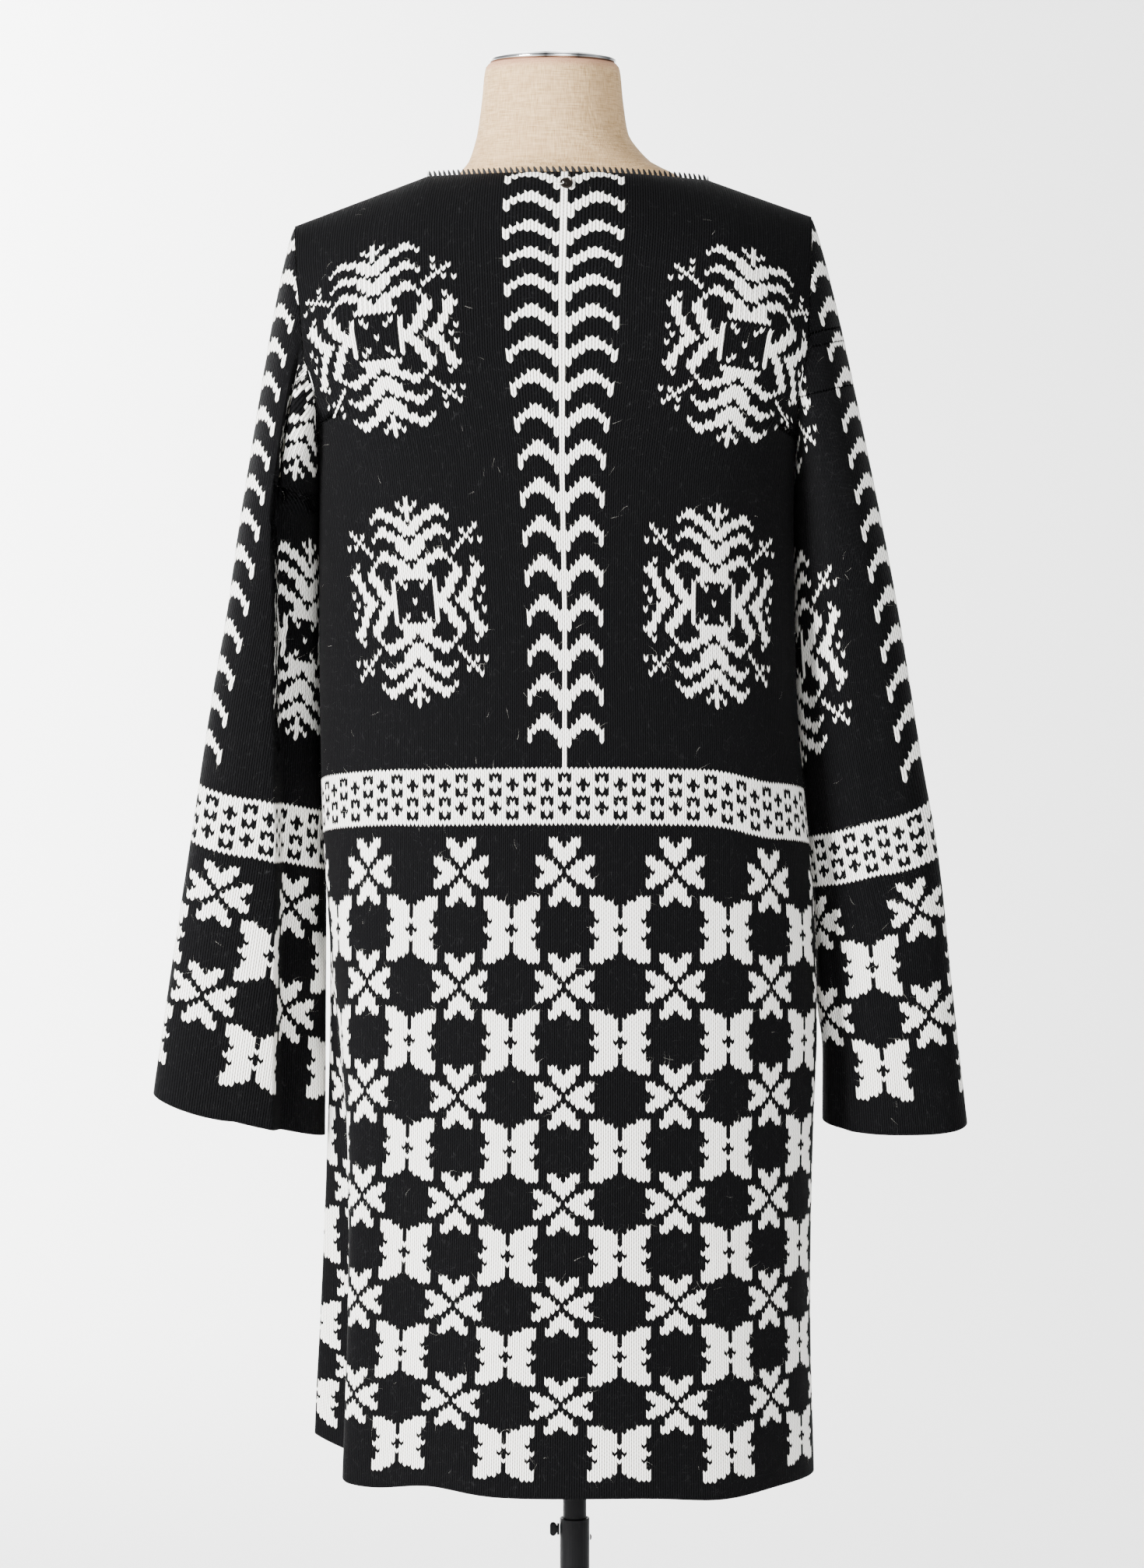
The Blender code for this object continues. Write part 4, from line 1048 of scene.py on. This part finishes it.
# The bound neck edge: an ivory cord along it, with small black picots on top.
def neckTrim(name, table, cutRow, places, normal, panel):
    line, outs = [], []
    fine = np.linspace(0, len(places) - 1, 1200)
    inside = abs(np.interp(fine, np.arange(len(places)), places)) <= body["neckShare"] + 0.004
    for p in fine[inside]:
        row = np.array([np.interp(p, np.arange(len(places)), cutRow) if panel == "front" else 0.0])
        line.append(sample(table, row, np.array([p]))[0])
        outs.append(sample(normal, row, np.array([p]))[0])
    line, outs = np.array(line), np.array(outs)
    run = runLengths(line, 0)

    def at(distance, values):
        return np.stack([np.interp(distance, run, values[:, k]) for k in range(3)], -1)

    steps = np.linspace(0, run[-1], int(run[-1] / 0.0011))
    rise = np.array((0, 0, 1.0))
    path = at(steps, line) - at(steps, outs) * 0.0018 + rise * 0.0004
    edge = newMesh(name + "Edge", *tubeAlong(path, 0.0009, 8), [ivoryWool], slot="wool_knit")
    points, faces = [], []
    teeth = int(run[-1] / 0.0046)
    for k in range(teeth):
        place = (k + 0.5) / teeth * run[-1]
        ahead = at(place + 0.0005, line) - at(place - 0.0005, line)
        ahead /= np.linalg.norm(ahead) + 1e-12
        out = at(place, outs)
        first = len(points)
        for level, radius in ((-0.0012, 0.0015), (0.0006, 0.0015), (0.0022, 0.0011), (0.0034, 0.0006)):
            for s in range(8):
                angle = 2 * math.pi * s / 8
                spread = ahead * math.cos(angle) + out * math.sin(angle) * 0.8
                point = at(place, line) + out * 0.0002 + rise * level + ahead * level * 0.45
                points.append(point + spread * radius)
        for ring in range(3):
            for s in range(8):
                t, low = (s + 1) % 8, first + ring * 8
                faces.append((low + s, low + t, low + 8 + t, low + 8 + s))
        faces.append(tuple(first + 24 + s for s in range(8)))
        faces.append(tuple(first + 7 - s for s in range(8)))
    picots = newMesh(name + "Picots", points, faces, [blackWool], slot="wool_knit")
    return [edge, picots]


makeForm()
stud = makeBadge()
stage("form")

for name, panel, side, flat in (
    ("knitBack", "back", 0, (0.460, 0.968)),
    ("knitFrontLeft", "front", 1, (0.235, 0.968)),
    ("knitFrontRight", "front", -1, (0.225, 0.968)),
):
    obj, table, normal, outer, yarn, cutRow, places = makePanel(name, panel, side)
    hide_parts({0: "back", 1: "front_left", -1: "front_right"}[side])
    trim = neckTrim(name, table, cutRow, places, normal, panel)
    outward = np.array((0, 1.0 if panel == "back" else -1.0, 0.2))
    hairs = makeFibres(name + "Hair", outer, yarn, 9000 if side == 0 else 4500, outward)
    stage(f"{name} {len(obj.data.polygons)}")

for name, which in (("knitSleeveLeft", sleeves["left"]), ("knitSleeveRight", sleeves["right"])):
    obj, outer, yarn = makeSleeve(name, which)
    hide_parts("sleeve_left" if which["side"] > 0 else "sleeve_right")
    hairs = makeFibres(name + "Hair", outer, yarn, 5000, outer - outer.mean(1, keepdims=True))
    stage(f"{name} {len(obj.data.polygons)}")

for material, nodes in (
    (blackPaint, ("base_plate", "outer_tube", "inner_pole")),
    (clampMetal, ("clamp_boss", "clamp_screw", "tube_rivet")),
):
    for node in nodes:
        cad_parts[node].data.materials.clear()
        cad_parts[node].data.materials.append(material)


# A pale floor that curves up into a backdrop, soft lights and the camera.
def makeStudio():
    profile = [(5.5, 0.0), (0.4, 0.0), (-3.0, 0.0)]
    curve = np.linspace(0.1, math.pi / 2, 14)
    profile += [(-3.0 - 1.2 * math.sin(a), 1.2 - 1.2 * math.cos(a)) for a in curve]
    profile += [(-4.2, 6.0)]
    points = [(x, y, z) for y, z in profile for x in (-5.0, 5.0)]
    faces = [(2 * k, 2 * k + 2, 2 * k + 3, 2 * k + 1) for k in range(len(profile) - 1)]
    paper, tree, shader = newMaterial("palePaper", Base_Color=colorLinear("#f4f4f3"), Roughness=1.0)
    # From behind, the paper is clear, so that the front of the garment can be looked at too.
    facing = addNode(tree, "ShaderNodeNewGeometry")
    clear = addNode(tree, "ShaderNodeBsdfTransparent")
    either = addNode(tree, "ShaderNodeMixShader", [(0, facing.outputs["Backfacing"])])
    tree.links.new(shader.outputs[0], either.inputs[1])
    tree.links.new(clear.outputs[0], either.inputs[2])
    tree.links.new(either.outputs[0], tree.nodes["Material Output"].inputs[0])
    backdrop = newMesh("backdrop", points, faces, [paper], body=None)
    for name, place, aim, width, power in (
        ("keyLight", (2.9, 2.3, 2.0), (0, 0, 1.1), 1.4, 640.0),
        ("fillLight", (-1.2, 3.6, 1.6), (0, 0, 1.0), 2.2, 90.0),
        ("frontLight", (0.0, -2.0, 2.6), (0, 0, 1.0), 1.8, 36.0),
        ("backdropLight", (2.5, -2.6, 2.4), (2.0, -4.2, 1.3), 1.6, 480.0),
    ):
        light = bpy.data.lights.new(name, "AREA")
        light.shape, light.size, light.energy = "DISK", width, power
        obj = bpy.data.objects.new(name, light)
        obj.location = place
        turn = np.array(aim) - np.array(place)
        tip = math.atan2(math.hypot(turn[0], turn[1]), -turn[2])
        obj.rotation_euler = (tip, 0, math.atan2(turn[0], -turn[1]) + math.pi)
        bpy.context.scene.collection.objects.link(obj)
    world = bpy.data.worlds.new("studioWorld")
    world.use_nodes = True
    world.node_tree.nodes["Background"].inputs[0].default_value = (0.95, 0.97, 1.0, 1)
    world.node_tree.nodes["Background"].inputs[1].default_value = 1.0
    bpy.context.scene.world = world
    camera = bpy.data.cameras.new("camera")
    camera.sensor_fit, camera.sensor_height = "VERTICAL", 24.0
    camera.lens = 5705 / 2014 * 24
    camera.shift_y = -307 / 2014
    obj = bpy.data.objects.new("camera", camera)
    obj.location = (0.002, 3.3, 1.136)
    obj.rotation_euler = (math.pi / 2, 0, math.pi)
    bpy.context.scene.collection.objects.link(obj)
    bpy.context.scene.camera = obj


makeStudio()
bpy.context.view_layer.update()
stage("done")
